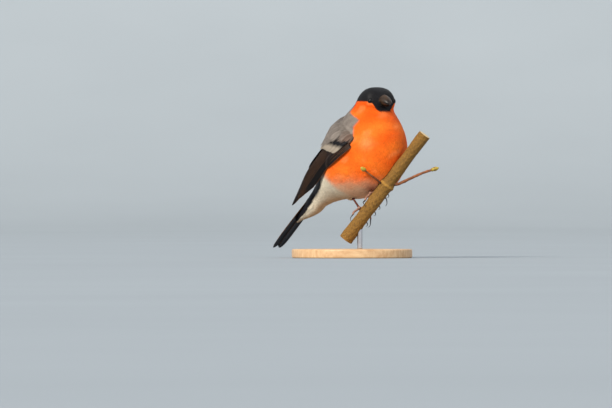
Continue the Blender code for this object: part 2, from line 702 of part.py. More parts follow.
def tail_feather(number):
    """number runs -5.5 to 5.5 across the tail, 0 between the middle pair."""
    outer = abs(number) / 5.5
    length = TAIL_LENGTH[0] + (TAIL_LENGTH[1] - TAIL_LENGTH[0]) * outer
    reach = length * VANE_STATIONS
    side = number * (TAIL_ROOT_SPREAD + (TAIL_TIP_SPREAD - TAIL_ROOT_SPREAD) * VANE_STATIONS)
    # The left half lies half a step lower, so that no two feathers share a height
    over = TAIL_HEIGHT - TAIL_STEP * abs(number) - TAIL_STEP / 2 * (number < 0)
    bow = 0.02 * reach * (1 - reach / 90)
    centre = [tail_point(b - TAIL_SINK, s, over + c) for b, s, c in zip(reach, side, bow)]
    return tail_vane(centre, TAIL_FEATHER_WIDTH * TAIL_OUTLINE)


def tail_vane(centre, widths):
    """A vane that lies flat in the tail along a line in the bird's axes."""
    out = np.repeat(way_in_world([[0, 1, 0]]), len(centre), 0)
    over = np.repeat(way_in_world([TAIL_OVER]), len(centre), 0)
    return make_vane(to_world(centre), out, over, widths, FLIGHT_PLUMAGE)


def tail_block():
    """The fleshy root and its coverts, from a gap behind the trunk's end."""
    end = skin_rings([0.0], -0.25)[0]
    rings = [end - GAP * MM * ring_plane(end)]
    angle = np.linspace(0, 2 * math.pi, SKIN_COLUMNS, endpoint=False)
    for top_a, top_h, low_a, low_h, half_width in TAIL_COVERTS:
        top, low = np.array([top_a, 0, top_h]), np.array([low_a, 0, low_h])
        ring = (top + low) / 2 + np.outer(np.cos(angle), (top - low) / 2)
        rings.append(to_world(ring + np.outer(np.sin(angle), [0, half_width, 0])))
    return loft("tail", rings, ORANGE_PLUMAGE)


def upper_covert(out):
    """One of the soft feathers that lie over the tail's root."""
    size = UPPER_COVERTS
    length = size["length"] - abs(out)
    centre = [
        tail_point(length * share + size["start"], out, size["height"] - size["fall"] * share)
        for share in VANE_STATIONS
    ]
    return tail_vane(centre, size["width"] * UPPER_COVERT_OUTLINE)


def make_tail():
    vanes = [tail_feather(i - (TAIL_FEATHERS - 1) / 2) for i in range(TAIL_FEATHERS)]
    vanes += [upper_covert(out) for out in UPPER_COVERTS["places"]]
    tail = combine(tail_block(), vanes, "UNION")
    trunk = loft("trimmer", skin_rings(np.linspace(0, 3, 8), GAP), FLIGHT_PLUMAGE, LOOSE)
    return combine(tail, [trunk], "DIFFERENCE")


# Branch

TO_LEFT_EDGE = np.array([-math.sin(BRANCH_SLOPE), 0.0, math.cos(BRANCH_SLOPE)])
BRANCH_AXIS = unit(
    np.array(
        [
            math.cos(BRANCH_SLOPE) * math.cos(BRANCH_TOWARDS_VIEWER),
            -math.sin(BRANCH_TOWARDS_VIEWER),
            math.sin(BRANCH_SLOPE) * math.cos(BRANCH_TOWARDS_VIEWER),
        ]
    )
)
TO_BRANCH_BACK = unit(np.cross(TO_LEFT_EDGE, BRANCH_AXIS))
if TO_BRANCH_BACK[1] < 0:
    TO_BRANCH_BACK = -TO_BRANCH_BACK


def branch_radius(along):
    share = np.clip((along + BRANCH_BELOW) / (BRANCH_BELOW + BRANCH_ABOVE), 0, 1)
    swelling = NODE_SWELL * math.exp(-(((along - NODE_AT) / NODE_REACH) ** 2))
    return BRANCH_RADIUS + (BRANCH_TOP_RADIUS - BRANCH_RADIUS) * share + swelling


def round_branch(along, angle, distance):
    """A world point beside the branch: along it from the left foot, at an
    angle round it from its upper left towards the back, off its axis."""
    around = math.cos(angle) * TO_LEFT_EDGE + math.sin(angle) * TO_BRANCH_BACK
    return (BRANCH_AT_LEFT_FOOT + along * BRANCH_AXIS + distance * around) * MM


def branch_body(name, grow, below, above, collection, columns=20):
    rings = []
    for along in np.linspace(below, above, 24):
        rings.append(
            [
                round_branch(along, a, branch_radius(along) + grow)
                for a in np.linspace(0, 2 * math.pi, columns, endpoint=False)
            ]
        )
    return loft(name, rings, BARK, collection)


def twig_points(line):
    ahead, across, back = np.array(line).T[:, :, None]
    node = BRANCH_AT_LEFT_FOOT + NODE_AT * BRANCH_AXIS
    return (node + ahead * BRANCH_AXIS + across * TO_LEFT_EDGE + back * TO_BRANCH_BACK) * MM


def smooth_line(points, count):
    return along_rows(points, np.linspace(0, len(points) - 1, count))


def make_bud(name, base, heading, length, radius):
    """A pointed bud: a spindle of scales round a line."""
    shares = np.linspace(0, 1, len(BUD_OUTLINE))
    points = [base + heading * length * s * MM for s in shares]
    radii = [radius * MM * r for r in BUD_OUTLINE]
    return tube(name, points, radii, BARK)


def make_branch():
    branch_body("perch_branch", 0.0, -BRANCH_BELOW, BRANCH_ABOVE, BIRD)
    for name, (line, radius, tip_radius) in TWIGS.items():
        points = smooth_line(twig_points(line), 9)
        radii = np.linspace(radius, tip_radius, len(points)) * MM
        twig = tube(name, points, radii, BARK)
        heading = unit(points[-1] - points[-2])
        aside = unit(np.cross(heading, UP))
        tip = points[-1] - heading * tip_radius * MM
        buds = [make_bud("bud", tip, heading, TIP_BUD_LENGTH, TIP_BUD_RADIUS)]
        for way in (heading + aside * 0.8, heading - aside * 0.8 + UP * 0.2):
            buds.append(make_bud("bud", points[-2], unit(way), SIDE_BUD_LENGTH, SIDE_BUD_RADIUS))
        combine(twig, buds, "UNION")
        clearing = branch_body("clearing", GAP, 5.0, 40.0, LOOSE)
        combine(twig, [clearing], "DIFFERENCE")
        twig.name = name


# Legs and feet

def by_bark(spots, count):
    """A smooth line through points given round, along and off the branch."""
    spots = along_rows(spots, np.linspace(0, len(spots) - 1, count))
    return np.array(
        [round_branch(s, math.radians(a), branch_radius(s) + h) for a, s, h in spots]
    )


def make_foot(foot):
    pieces = []
    for toe, radius in TOE_RADIUS.items():
        points = by_bark(FEET[foot][toe], len(TOE_JOINTS))
        pieces.append(tube(toe, points, [radius * j * MM for j in TOE_JOINTS], LEG_SKIN))
    pad = ball("pad", by_bark([FEET[foot]["palm"]] * 2, 1)[0], PAD_RADIUS * MM, LEG_SKIN, 6)
    made = combine(pad, pieces, "UNION")
    made.name = "foot_" + foot
    return combine(made, [branch_body("clearing", GAP, -30.0, 22.0, LOOSE, 32)], "DIFFERENCE")


def make_claw(foot, toe):
    points = by_bark(CLAWS[foot][toe], 8)
    radii = [CLAW_RADIUS * (1 - CLAW_TAPER * share**1.4) * MM for share in np.linspace(0, 1, 8)]
    return tube(f"claw_{foot}_{toe}", points, radii, CLAW_HORN, BIRD)


def tarsus_line(foot, reach=0.0):
    """The bare shank from the heel, hidden in the belly, to the foot's pad."""
    palm = by_bark([FEET[foot]["palm"]] * 2, 1)[0]
    heel = to_world(HEELS[foot])[0]
    down = unit(palm - heel)
    heel = heel - down * reach * MM
    end = palm - down * (PAD_RADIUS + GAP - reach) * MM
    return [heel + (end - heel) * share for share in np.linspace(0, 1, len(TARSUS_OUTLINE))]


def make_leg(foot, name, grow=0.0, collection=BIRD):
    radii = [(TARSUS_RADIUS * r + grow) * MM for r in TARSUS_OUTLINE]
    return tube(name, tarsus_line(foot, grow), radii, LEG_SKIN, collection)


# Display stand

def make_stand():
    bpy.ops.mesh.primitive_cylinder_add(
        vertices=48,
        radius=BASE_RADIUS * MM,
        depth=BASE_THICKNESS * MM,
        location=(0, 0, BASE_THICKNESS / 2 * MM),
    )
    base = bpy.context.object
    base.name = "stand_base"
    base.data.name = "stand_base"
    bevel = base.modifiers.new("eased_edge", "BEVEL")
    bevel.width = BASE_BEVEL * MM
    bevel.segments = 2
    bevel.limit_method = "ANGLE"
    base.data.materials.append(BASE_WOOD)
    foot = (BRANCH_AT_LEFT_FOOT + ROD_AT * BRANCH_AXIS) * MM
    low, high = BASE_THICKNESS + GAP, foot[2] / MM
    bpy.ops.mesh.primitive_cylinder_add(
        vertices=24,
        radius=ROD_RADIUS * MM,
        depth=(high - low) * MM,
        location=(foot[0], foot[1], (high + low) / 2 * MM),
    )
    rod = bpy.context.object
    rod.name = "stand_rod"
    rod.data.name = "stand_rod"
    rod.data.materials.append(ROD_STEEL)
    for obj in (base, rod):
        for home in list(obj.users_collection):
            home.objects.unlink(obj)
        BIRD.objects.link(obj)
    combine(rod, [branch_body("clearing", GAP, -40.0, 5.0, LOOSE, 40)], "DIFFERENCE")


# The whole bird

torso = skin_part("torso", 0.0, NECK_FROM, TORSO_RINGS, ORANGE_PLUMAGE, False)
skin_part("neck", NECK_FROM, HEAD_FROM, NECK_RINGS, ORANGE_PLUMAGE, True)
make_head()
make_mandible("bill_upper", UPPER_BILL, 1)
make_mandible("bill_lower", LOWER_BILL, -1)
make_wing(1, "wing_right")
make_wing(-1, "wing_left")
make_tail()
make_branch()
for foot in FEET:
    make_leg(foot, "leg_" + foot)
    make_foot(foot)
    for toe in TOE_RADIUS:
        make_claw(foot, toe)
make_stand()
clearings = [branch_body("clearing", GAP + 0.1, -30.0, BRANCH_ABOVE + 5, LOOSE, 24)]
clearings += [make_leg(foot, "clearing", GAP, LOOSE) for foot in FEET]
clearings.append(branch_body("clearing", GAP + TOE_ROOM, -20.0, 14.5, LOOSE, 24))
clearings.append(ball("hollow", tarsus_line("left")[-1], LEG_HOLLOW * MM, ORANGE_PLUMAGE))
combine(torso, clearings, "DIFFERENCE")
bpy.data.collections.remove(LOOSE)
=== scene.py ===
import math

import bpy
import numpy as np
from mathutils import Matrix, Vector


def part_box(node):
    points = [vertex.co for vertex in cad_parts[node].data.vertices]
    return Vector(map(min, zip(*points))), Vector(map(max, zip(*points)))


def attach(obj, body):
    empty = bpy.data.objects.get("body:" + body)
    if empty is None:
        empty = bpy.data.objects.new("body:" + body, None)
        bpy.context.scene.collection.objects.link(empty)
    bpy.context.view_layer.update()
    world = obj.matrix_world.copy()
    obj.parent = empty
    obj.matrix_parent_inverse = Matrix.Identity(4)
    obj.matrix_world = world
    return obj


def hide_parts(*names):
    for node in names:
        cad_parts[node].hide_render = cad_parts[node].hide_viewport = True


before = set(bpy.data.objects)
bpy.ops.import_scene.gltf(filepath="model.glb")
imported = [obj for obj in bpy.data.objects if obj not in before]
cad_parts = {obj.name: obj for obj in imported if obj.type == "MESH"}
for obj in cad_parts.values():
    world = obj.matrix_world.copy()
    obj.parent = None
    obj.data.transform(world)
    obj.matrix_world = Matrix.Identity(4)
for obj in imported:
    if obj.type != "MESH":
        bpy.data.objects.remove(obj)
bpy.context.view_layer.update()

# A cock bullfinch on a cut length of branch. The solids from the frame stay as they
# are, and every one of them is shown here by a finer piece in the same place.
# Sizes are in millimetres, and body points are forward, out to the right and up
# about the middle of the trunk.


mm = 0.001
draw = np.random.default_rng(11)

bird = {
    "heading": math.radians(50),  # of the trunk, from facing the viewer towards +X
    "headTurn": math.radians(19),  # of the head towards its own right
    "neckAxis": 8.0,  # forward of the trunk's middle
    "trunkCentre": np.array([12.5, 0.0, 78.0]),
}
ahead = np.array([math.sin(bird["heading"]), -math.cos(bird["heading"]), 0.0])
toRight = np.array([-math.cos(bird["heading"]), -math.sin(bird["heading"]), 0.0])
up = np.array([0.0, 0.0, 1.0])


# Forward, out and up in mm to world metres: the head's share of turn first, about an
# upright line through the neck, then the trunk's heading
def toWorld(body, turn=0.0):
    body = np.asarray(body, float)
    angle = bird["headTurn"] * np.asarray(turn, float)
    forward, out = body[..., 0] - bird["neckAxis"], body[..., 1]
    turnedForward = bird["neckAxis"] + forward * np.cos(angle) - out * np.sin(angle)
    turnedOut = forward * np.sin(angle) + out * np.cos(angle)
    world = turnedForward[..., None] * ahead + turnedOut[..., None] * toRight
    return (world + body[..., 2:] * up + bird["trunkCentre"]) * mm


def worldWay(way):
    return unit(toWorld(way) - toWorld(np.zeros(3)))


def unit(v):
    return v / np.maximum(np.linalg.norm(v, axis=-1, keepdims=True), 1e-12)


def smoothStep(x, low, high):
    t = np.clip((x - low) / (high - low), 0, 1)
    return t * t * (3 - 2 * t)


# A smooth curve through a table's rows: cubic pieces whose slope at each row is half
# the step between the rows on either side, and straight on beyond both ends
def alongRows(rows, at):
    rows, at = np.asarray(rows, float), np.asarray(at, float)
    last = len(rows) - 1
    over = (at - np.clip(at, 0, last))[..., None]
    at = np.clip(at, 0, last)
    start = np.clip(np.floor(at).astype(int), 0, last - 1)
    t = (at - start)[..., None]
    before, after = rows[np.maximum(start - 1, 0)], rows[np.minimum(start + 2, last)]
    p, q = rows[start], rows[start + 1]
    leave, arrive = (q - before) / 2, (after - p) / 2
    ease = 3 * t**2 - 2 * t**3
    inside = p + (q - p) * ease + (t**3 - 2 * t**2 + t) * leave + (t**3 - t**2) * arrive
    return inside + np.where(over < 0, leave, arrive) * over


# Colours and nodes

# sRGB hex to linear: each channel over 255, then the standard curve
def linear(hexColour):
    value = np.array([int(hexColour[i : i + 2], 16) for i in (0, 2, 4)]) / 255
    return np.where(value <= 0.04045, value / 12.92, ((value + 0.055) / 1.055) ** 2.4)


def rgba(hexColour):
    return (*linear(hexColour), 1.0)


# One node with its settings, its sockets given a value or joined, its outputs joined
# onwards, and a ramp's stops as (position, sRGB hex)
def addNode(tree, kind, sockets=None, into=None, stops=(), **settings):
    node = tree.nodes.new("ShaderNode" + kind)
    for name, value in settings.items():
        setattr(node, name, value)
    for name, value in (sockets or {}).items():
        if isinstance(value, bpy.types.NodeSocket):
            tree.links.new(value, node.inputs[name])
        else:
            node.inputs[name].default_value = value
    for name, socket in (into or {}).items():
        tree.links.new(node.outputs[name], socket)
    for i, (position, hexColour) in enumerate(stops):
        node.color_ramp.elements[i].position = position
        node.color_ramp.elements[i].color = rgba(hexColour)
    return node


# A material, its node tree and its shader's sockets
def newMaterial(name, **sockets):
    made = bpy.data.materials.new(name)
    made.use_nodes = True
    surface = made.node_tree.nodes["Principled BSDF"].inputs
    for socket, value in sockets.items():
        surface[socket.replace("_", " ")].default_value = value
    return made, made.node_tree, surface


blend = {"data_type": "RGBA"}
multiply = {"data_type": "RGBA", "blend_type": "MULTIPLY"}


# Meshes

def fullTurn(count):
    return np.linspace(0, 2 * math.pi, count, endpoint=False)


# Quads between neighbours on a grid, each as two triangles
def gridFaces(rows, columns, wrapRows=False, wrapColumns=True):
    i = np.arange(rows if wrapRows else rows - 1)[:, None]
    j = np.arange(columns if wrapColumns else columns - 1)[None]
    below, beside = (i + 1) % rows * columns, (j + 1) % columns
    quads = np.stack([i * columns + j, i * columns + beside, below + beside, below + j], -1).reshape(-1, 4)
    return np.concatenate([quads[:, [0, 1, 2]], quads[:, [0, 2, 3]]])


# The faces of closed rings, with a fan over each end ring
def ringFaces(rows, columns):
    ring, base = np.arange(columns), (rows - 1) * columns
    after = (ring + 1) % columns
    low = np.stack([np.full(columns, rows * columns), after, ring], -1)
    high = np.stack([np.full(columns, rows * columns + 1), base + ring, base + after], -1)
    return np.concatenate([gridFaces(rows, columns), low, high])


def addObject(name, data):
    obj = bpy.data.objects.new(name, data)
    bpy.context.scene.collection.objects.link(obj)
    return obj


def between(first, last, share):
    return first + (last - first) * share


# The grid's points as a list, with the middle of each end ring added for the fans
def withCaps(grid):
    ends = np.stack([grid[0].mean(0), grid[-1].mean(0)])
    return np.concatenate([grid.reshape(-1, grid.shape[-1]), ends])


# Six times the signed volume of the closed surface says which way its faces look
def facesOut(points, tris):
    a, b, c = (points[tris[:, n]] for n in range(3))
    if np.einsum("ij,ij->i", a, np.cross(b, c)).sum() < 0:
        return tris[:, ::-1]
    return tris


def newPiece(name, points, tris, material, stands=(), maps=None, colour=None, normals=None):
    name = f"{name}_surface" if name in stands else name
    mesh = bpy.data.meshes.new(name)
    mesh.vertices.add(len(points))
    mesh.vertices.foreach_set("co", np.ascontiguousarray(points, np.float32).ravel())
    mesh.loops.add(tris.size)
    mesh.loops.foreach_set("vertex_index", np.ascontiguousarray(tris, np.int32).ravel())
    mesh.polygons.add(len(tris))
    mesh.polygons.foreach_set("loop_start", np.arange(0, tris.size, 3, dtype=np.int32))
    mesh.update(calc_edges=True)
    for mapName, uv in (maps or {}).items():
        layer = mesh.uv_layers.new(name=mapName, do_init=False)
        corner = uv if len(uv) == tris.size else uv[tris.ravel()]
        layer.uv.foreach_set("vector", np.ascontiguousarray(corner, np.float32).ravel())
    if colour is not None:
        paint = mesh.color_attributes.new("plumage", "FLOAT_COLOR", "POINT")
        full = np.concatenate([colour, np.ones((len(colour), 1))], 1)
        paint.data.foreach_set("color", full.astype(np.float32).ravel())
    mesh.polygons.foreach_set("use_smooth", np.full(len(tris), True))
    if normals is not None:
        mesh.normals_split_custom_set(normals)
    mesh.materials.append(material)
    obj = addObject(name, mesh)
    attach(obj, "root")
    if stands:
        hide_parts(*stands)


# Where a ring closes on itself its places on the map run on past 1, and the whole map
# is then drawn in from its edges
seamMap = {"jump": 0.6, "low": 0.4, "scale": 0.98, "edge": 0.005}


# A closed surface through rings, with a map of shares round and along them
def ringPiece(name, grid, material, stands=(), colour=None):
    rows, columns = grid.shape[:2]
    points = withCaps(grid)
    tris = facesOut(points, ringFaces(rows, columns))
    around = np.broadcast_to(np.arange(columns) / columns, (rows, columns)).ravel()
    along = np.repeat(np.linspace(0, 1, rows), columns)
    corner = np.stack([np.append(around, [0.5, 0.5]), np.append(along, [0, 1])], -1)[tris]
    seam = np.ptp(corner[..., 0], axis=1) > seamMap["jump"]
    corner[seam, :, 0] += corner[seam, :, 0] < seamMap["low"]
    corner = (corner * seamMap["scale"] + seamMap["edge"]).reshape(-1, 2)
    if colour is not None:
        colour = withCaps(colour)
    newPiece(name, points, tris, material, stands, {"shape": corner}, colour)


# A tube: rings square to a path, carried along it without twist. radii has one row
# for each point of the path and one column for each place round it
def tubeRings(path, radii):
    tangent = unit(np.gradient(path, axis=0))
    side = np.zeros_like(path)
    side[0] = unit(np.cross(tangent[0], up))
    for i in range(1, len(path)):
        side[i] = unit(side[i - 1] - tangent[i] * (side[i - 1] @ tangent[i]))
    angle = fullTurn(radii.shape[1])[None, :, None]
    around = np.cos(angle) * side[:, None] + np.sin(angle) * np.cross(tangent, side)[:, None]
    return path[:, None] + around * radii[..., None]


def joined(parts):
    points, tris, extra, offset = [], [], [], 0
    for part in parts:
        points.append(part[0])
        tris.append(part[1] + offset)
        extra.append(part[2:])
        offset += len(part[0])
    return np.concatenate(points), np.concatenate(tris), *[np.concatenate(x) for x in zip(*extra)]


# Body surface

body = {
    # The tail's root and then the trunk, neck and head: back (forward, up), belly
    # (forward, up), half width, share of the head's turn
    "profile": np.array(
        [
            [-68.4, -44.0, -70.0, -49.8, 2.4, 0.0],
            [-64.4, -38.6, -66.4, -48.4, 4.2, 0.0],
            [-60.4, -33.8, -62.0, -47.2, 5.6, 0.0],
            [-56.0, -28.8, -56.4, -45.4, 6.9, 0.0],
            [-51.6, -23.4, -50.0, -42.4, 8.0, 0.0],
            [-47.5, -18.0, -45.5, -38.4, 9.0, 0.0],
            [-43.0, -12.5, -37.0, -34.8, 13.0, 0.0],
            [-38.0, -5.0, -24.0, -32.2, 18.5, 0.0],
            [-33.8, 2.8, -8.0, -31.8, 23.4, 0.0],
            [-30.4, 10.0, 7.0, -29.3, 26.4, 0.0],
            [-27.4, 16.8, 19.5, -23.5, 27.9, 0.0],
            [-24.2, 23.0, 28.0, -13.0, 28.0, 0.0],
            [-21.0, 28.8, 31.8, 0.5, 26.8, 0.0],
            [-17.2, 33.6, 31.5, 12.5, 24.3, 0.0],
            [-13.0, 37.8, 28.4, 22.3, 21.0, 0.0],
            [-9.3, 41.5, 24.8, 29.0, 17.4, 0.1],
            [-7.2, 45.0, 22.0, 33.0, 14.9, 0.3],
            [-5.6, 48.2, 20.9, 35.2, 13.6, 0.6],
            [-1.6, 51.8, 20.5, 36.4, 13.0, 0.9],
            [4.4, 54.5, 20.3, 37.3, 12.6, 1.0],
            [10.8, 55.0, 20.1, 38.1, 11.8, 1.0],
            [15.8, 52.8, 19.9, 38.8, 9.6, 1.0],
            [18.6, 49.8, 19.6, 39.6, 6.4, 1.0],
        ]
    ),
    "squareness": 0.2,  # how much fuller than an ellipse the head's rings are
    # Row numbers, and at each the length of the feathers and the depth of the coat
    "rows": [0, 3, 6, 8, 10, 12, 14, 16, 18, 20, 21.4, 22],
    "length": [7.2, 7.6, 8.2, 8.0, 7.6, 6.6, 5.4, 4.2, 3.3, 2.5, 1.7, 1.4],
    "depth": [0.7, 1.1, 1.5, 1.9, 2.0, 1.8, 1.5, 1.1, 0.8, 0.55, 0.4, 0.35],
    "skinRows": 190,
    "skinColumns": 128,
}
lastRow = len(body["profile"]) - 1


# Two half ellipses, one over the back and one under the belly, of the profile's half
# width; cosine and sine are raised to a power under one where the head is fuller
def bodyPoint(station, angle):
    row = alongRows(body["profile"], station)
    turn = row[..., 5]
    power = 1 - body["squareness"] * turn
    over, out = np.cos(angle), np.sin(angle)
    over, out = np.sign(over) * abs(over) ** power, np.sign(out) * abs(out) ** power
    zero = np.zeros_like(turn)
    back = np.stack([row[..., 0], zero, row[..., 1]], -1)
    belly = np.stack([row[..., 2], zero, row[..., 3]], -1)
    point = (back + belly) / 2 + over[..., None] * (back - belly) / 2
    point[..., 1] += out * row[..., 4]
    return point, turn


def bodySheet(station, angle):
    return toWorld(*bodyPoint(station, angle))


# Point, outward normal and the two slopes of any sheet, in mm for each unit
def sheetFrame(sheet, p, q, flip=1, step=0.01):
    middle = sheet(p, q)
    alongP = (sheet(p + step, q) - sheet(p - step, q)) / (2 * step * mm)
    alongQ = (sheet(p, q + step) - sheet(p, q - step)) / (2 * step * mm)
    return middle, unit(np.cross(alongQ, alongP)) * flip, alongP, alongQ


# Perch, which the belly keeps clear of

perch = {
    "slope": math.radians(53.1),
    "towardsViewer": math.radians(8),
    "atLeftFoot": np.array([16.4, -17.5, 42.9]),
    "below": 36.0,
    "above": 67.0,
    "radius": 5.4,
    "topRadius": 4.7,
    "nodeAt": 17.5,
    "nodeSwell": 1.0,
    "nodeReach": 3.2,
    "farSide": 6.0,  # how far beyond it the coat still slides clear
}
leftEdge = np.array([-math.sin(perch["slope"]), 0.0, math.cos(perch["slope"])])
perchAxis = unit(
    np.array(
        [
            math.cos(perch["slope"]) * math.cos(perch["towardsViewer"]),
            -math.sin(perch["towardsViewer"]),
            math.sin(perch["slope"]) * math.cos(perch["towardsViewer"]),
        ]
    )
)
perchBack = unit(np.cross(leftEdge, perchAxis))
perchBack = perchBack * np.sign(perchBack[1])


# Thins evenly from the lower end to the upper, with a round swelling at the node
def perchRadius(along):
    share = np.clip((along + perch["below"]) / (perch["below"] + perch["above"]), 0, 1)
    swelling = perch["nodeSwell"] * np.exp(-(((along - perch["nodeAt"]) / perch["nodeReach"]) ** 2))
    return perch["radius"] + (perch["topRadius"] - perch["radius"]) * share + swelling


# A world point beside the perch: along it from the left foot, at an angle round it
# from its upper left towards the back, and off its axis
def roundPerch(along, angle, distance):
    along, angle, distance = np.broadcast_arrays(along, angle, distance)
    around = np.cos(angle)[..., None] * leftEdge + np.sin(angle)[..., None] * perchBack
    return (perch["atLeftFoot"] + along[..., None] * perchAxis + distance[..., None] * around) * mm


toBelly = bird["trunkCentre"] - perch["atLeftFoot"]
toBelly = unit(toBelly - perchAxis * (toBelly @ perchAxis))
perchAside = np.cross(perchAxis, toBelly)


# Points nearer the perch's axis than its radius and a margin slide towards the trunk
# until they lie on a round groove of that radius
def clearOfPerch(points, margin):
    off = points / mm - perch["atLeftFoot"]
    along = off @ perchAxis
    deep, aside = off @ toBelly, off @ perchAside
    reach = perchRadius(along) + margin
    groove = np.sqrt(np.maximum(reach**2 - aside**2, 0))
    inside = (abs(aside) < reach) & (deep < groove) & (deep > -reach - perch["farSide"])
    shift = np.where(inside, groove - deep, 0)
    return points + shift[..., None] * toBelly * mm


# Points inside a ball slide out of it, away from its middle
def clearOfBall(points, centre, radius):
    off = points - centre + toBelly * mm * 0.5
    distance = np.linalg.norm(off, axis=-1, keepdims=True)
    return np.where(distance < radius, centre + off / np.maximum(distance, 1e-9) * radius, points)


# Feet: each toe and claw as (degrees round the perch from its upper left, place
# along it, height of the middle off the bark)
feet = {
    "heels": {"left": (7.5, 2.5, -17.0), "right": (-12.0, 5.0, -30.5)},
    "palms": {"left": (22, 4.5, 1.7), "right": (24, -10.0, 1.7)},
    "toes": {
        "left": {
            "hind": [(22, 4.5, 1.5), (8, 2.2, 1.5), (0, -0.2, 1.6), (-6, -2.2, 1.2)],
            "inner": [(22, 4.5, 1.4), (60, 8.5, 1.05), (98, 10.8, 1.0), (130, 12.0, 1.0)],
            "middle": [(22, 4.5, 1.4), (66, 6.0, 1.05), (110, 7.8, 1.05), (150, 8.8, 1.1)],
            "outer": [(22, 4.5, 1.4), (60, 2.4, 1.05), (96, 1.2, 1.0), (130, 0.8, 1.0)],
        },
        "right": {
            "hind": [(24, -10.0, 1.5), (8, -12.4, 1.8), (0, -14.8, 2.5), (-4, -17.0, 2.0)],
            "inner": [(24, -10.0, 1.4), (60, -12.6, 1.05), (98, -14.4, 1.0), (130, -15.4, 1.0)],
            "middle": [(24, -10.0, 1.4), (68, -9.6, 1.05), (112, -9.8, 1.05), (154, -11.6, 1.5)],
            "outer": [(24, -10.0, 1.4), (62, -7.2, 1.05), (100, -5.6, 1.0), (134, -5.0, 1.0)],
        },
    },
    "claws": {
        "left": {
            "hind": [(-9, -2.9, 1.2), (-24, -3.9, 2.0), (-44, -4.8, 1.5), (-60, -5.4, 0.6)],
            "inner": [(134.5, 12.0, 1.1), (148, 11.6, 2.0), (162, 10.6, 2.0), (174, 9.6, 1.0)],
            "middle": [(154, 8.5, 1.3), (166, 7.2, 2.9), (176, 5.2, 4.0), (183, 3.6, 3.7)],
            "outer": [(134.5, 0.8, 1.1), (148, 0.0, 2.0), (162, -1.0, 2.0), (174, -2.0, 1.0)],
        },
        "right": {
            "hind": [(-5, -17.8, 2.0), (-9, -19.4, 2.1), (-18, -20.8, 1.5), (-30, -21.6, 0.6)],
            "inner": [(134.5, -15.6, 1.1), (148, -16.4, 2.0), (162, -17.4, 2.0), (174, -18.4, 1.0)],
            "middle": [(157, -12.4, 1.7), (164, -14.4, 3.0), (171, -16.4, 3.5), (177, -18.0, 2.8)],
            "outer": [(138.5, -5.2, 1.1), (152, -6.0, 2.0), (165, -7.0, 2.0), (176, -8.0, 1.0)],
        },
    },
    "toeRadius": {"hind": 0.85, "inner": 0.7, "middle": 0.8, "outer": 0.7},
    "padRadius": 1.25,
    "tarsusRadius": 0.85,
    "clawRadius": 0.55,
    "hollow": 2.0,  # radius of the room that the coat leaves round the left foot
}


def byBark(spots, count):
    at = alongRows(spots, np.linspace(0, len(spots) - 1, count))
    return roundPerch(at[:, 1], np.radians(at[:, 0]), perchRadius(at[:, 1]) + at[:, 2])


# From the heel, hidden in the belly, straight to just short of the foot's pad
def tarsusEnds(side):
    palm = byBark([feet["palms"][side]] * 2, 1)[0]
    heel = toWorld(np.array(feet["heels"][side]))
    return heel, palm - unit(palm - heel) * (feet["padRadius"] + 0.3) * mm


footHollow = tarsusEnds("left")[1]


def clearOfFeet(points, margin):
    return clearOfPerch(clearOfBall(points, footHollow, (feet["hollow"] + margin) * mm), margin)


# Eyes, which the coat keeps clear of

eye = {
    "station": 20.5,  # row of the profile
    "angle": math.radians(99),  # down from the crown
    "radius": 2.6,
    "sink": 1.5,
    "lidRim": 2.14,
    "lidLong": 1.1,
    "lidHigh": 0.92,
    "coatRim": 2.22,
    "coatRise": 0.35,  # of the small feathers round the lids
    "lidThick": 0.15,
}


# Middle of an eyeball and the ways it looks, level and upright
def eyeSeat(side):
    seat, outward, _, _ = sheetFrame(bodySheet, np.array([eye["station"]]), np.array([eye["angle"] * side]))
    level = unit(np.cross(outward[0], up))
    return seat[0] - outward[0] * eye["sink"] * mm, outward[0], level, np.cross(level, outward[0])


# Points over an eyeball slide sideways to the rim of an oval round it
def clearOfEyes(points):
    for side in (1, -1):
        centre, outward, level, upright = eyeSeat(side)
        off = (points - centre) / mm
        along = off @ outward
        x, y = off @ level / eye["lidLong"], off @ upright / eye["lidHigh"]
        distance = np.hypot(x, y)
        grow = np.maximum(eye["coatRim"] / np.maximum(distance, 0.05), 1)
        grow = np.where((along > 0) & (along < 6), grow, 1)[:, None]
        across = (x * eye["lidLong"])[:, None] * level + (y * eye["lidHigh"])[:, None] * upright
        points = centre + (along[:, None] * outward + across * grow) * mm
    return points


# Markings of the plumage

plumage = {
    "orange": linear("ea731f"),
    "deepOrange": linear("e54f02"),
    "paleOrange": linear("ef9557"),
    "flankFade": linear("d38f66"),
    "cream": linear("cfb092"),
    "white": linear("cbc1ac"),
    "grey": linear("706760"),
    "paleGrey": linear("857b72"),
    "cap": linear("141315"),
    "black": linear("0e0c13"),
    # reddish brown of the thigh, partly painted shade of the hollow where the belly meets the leg
    "thigh": linear("9a4f33"),
    # tan, for the right thigh and as painted shade along the white vent's lower edge
    "buffAndShade": linear("a5825a"),
}
# Where grey meets orange, in degrees down from the back, at each row of the profile
greyEdge = {
    "rows": [8, 9, 9.7, 10.9, 11.6, 12.4, 13.0, 13.95, 14.15, 15, 22],
    "degrees": [62, 62, 66, 76, 84, 91, 86, 93, 50, 47, 47],
}
# How far down from the back the black over the tail's root reaches, in radians
# The black is the coverts' own; its rounded upper end is partly painted shadow of the wing
tailBlackAndShadow = {
    "rows": [0, 2.3, 3.3, 4.3, 5.5, 6.3, 6.9, 7.1],
    "reach": [2.3, 2.1, 1.84, 1.7, 1.76, 1.74, 1.3, 0.9],
}
# A paler spot on the left of the breast: partly paler parted feathers, partly a painted highlight where the
# light falls
paleSpotAndHighlight = {"at": (17.4, 23.6, 11.3), "reach": 5.0, "strength": 0.6}
# The thigh's reddish brown in that hollow: partly its own feathers, partly painted shade
thighFluffAndShade = {"at": (13.0, 11.4, -23.0), "reach": 5.2, "strength": 0.85}
capEdge = {"height": 43.8, "dip": 8.2}  # the dip is the bib under the bill
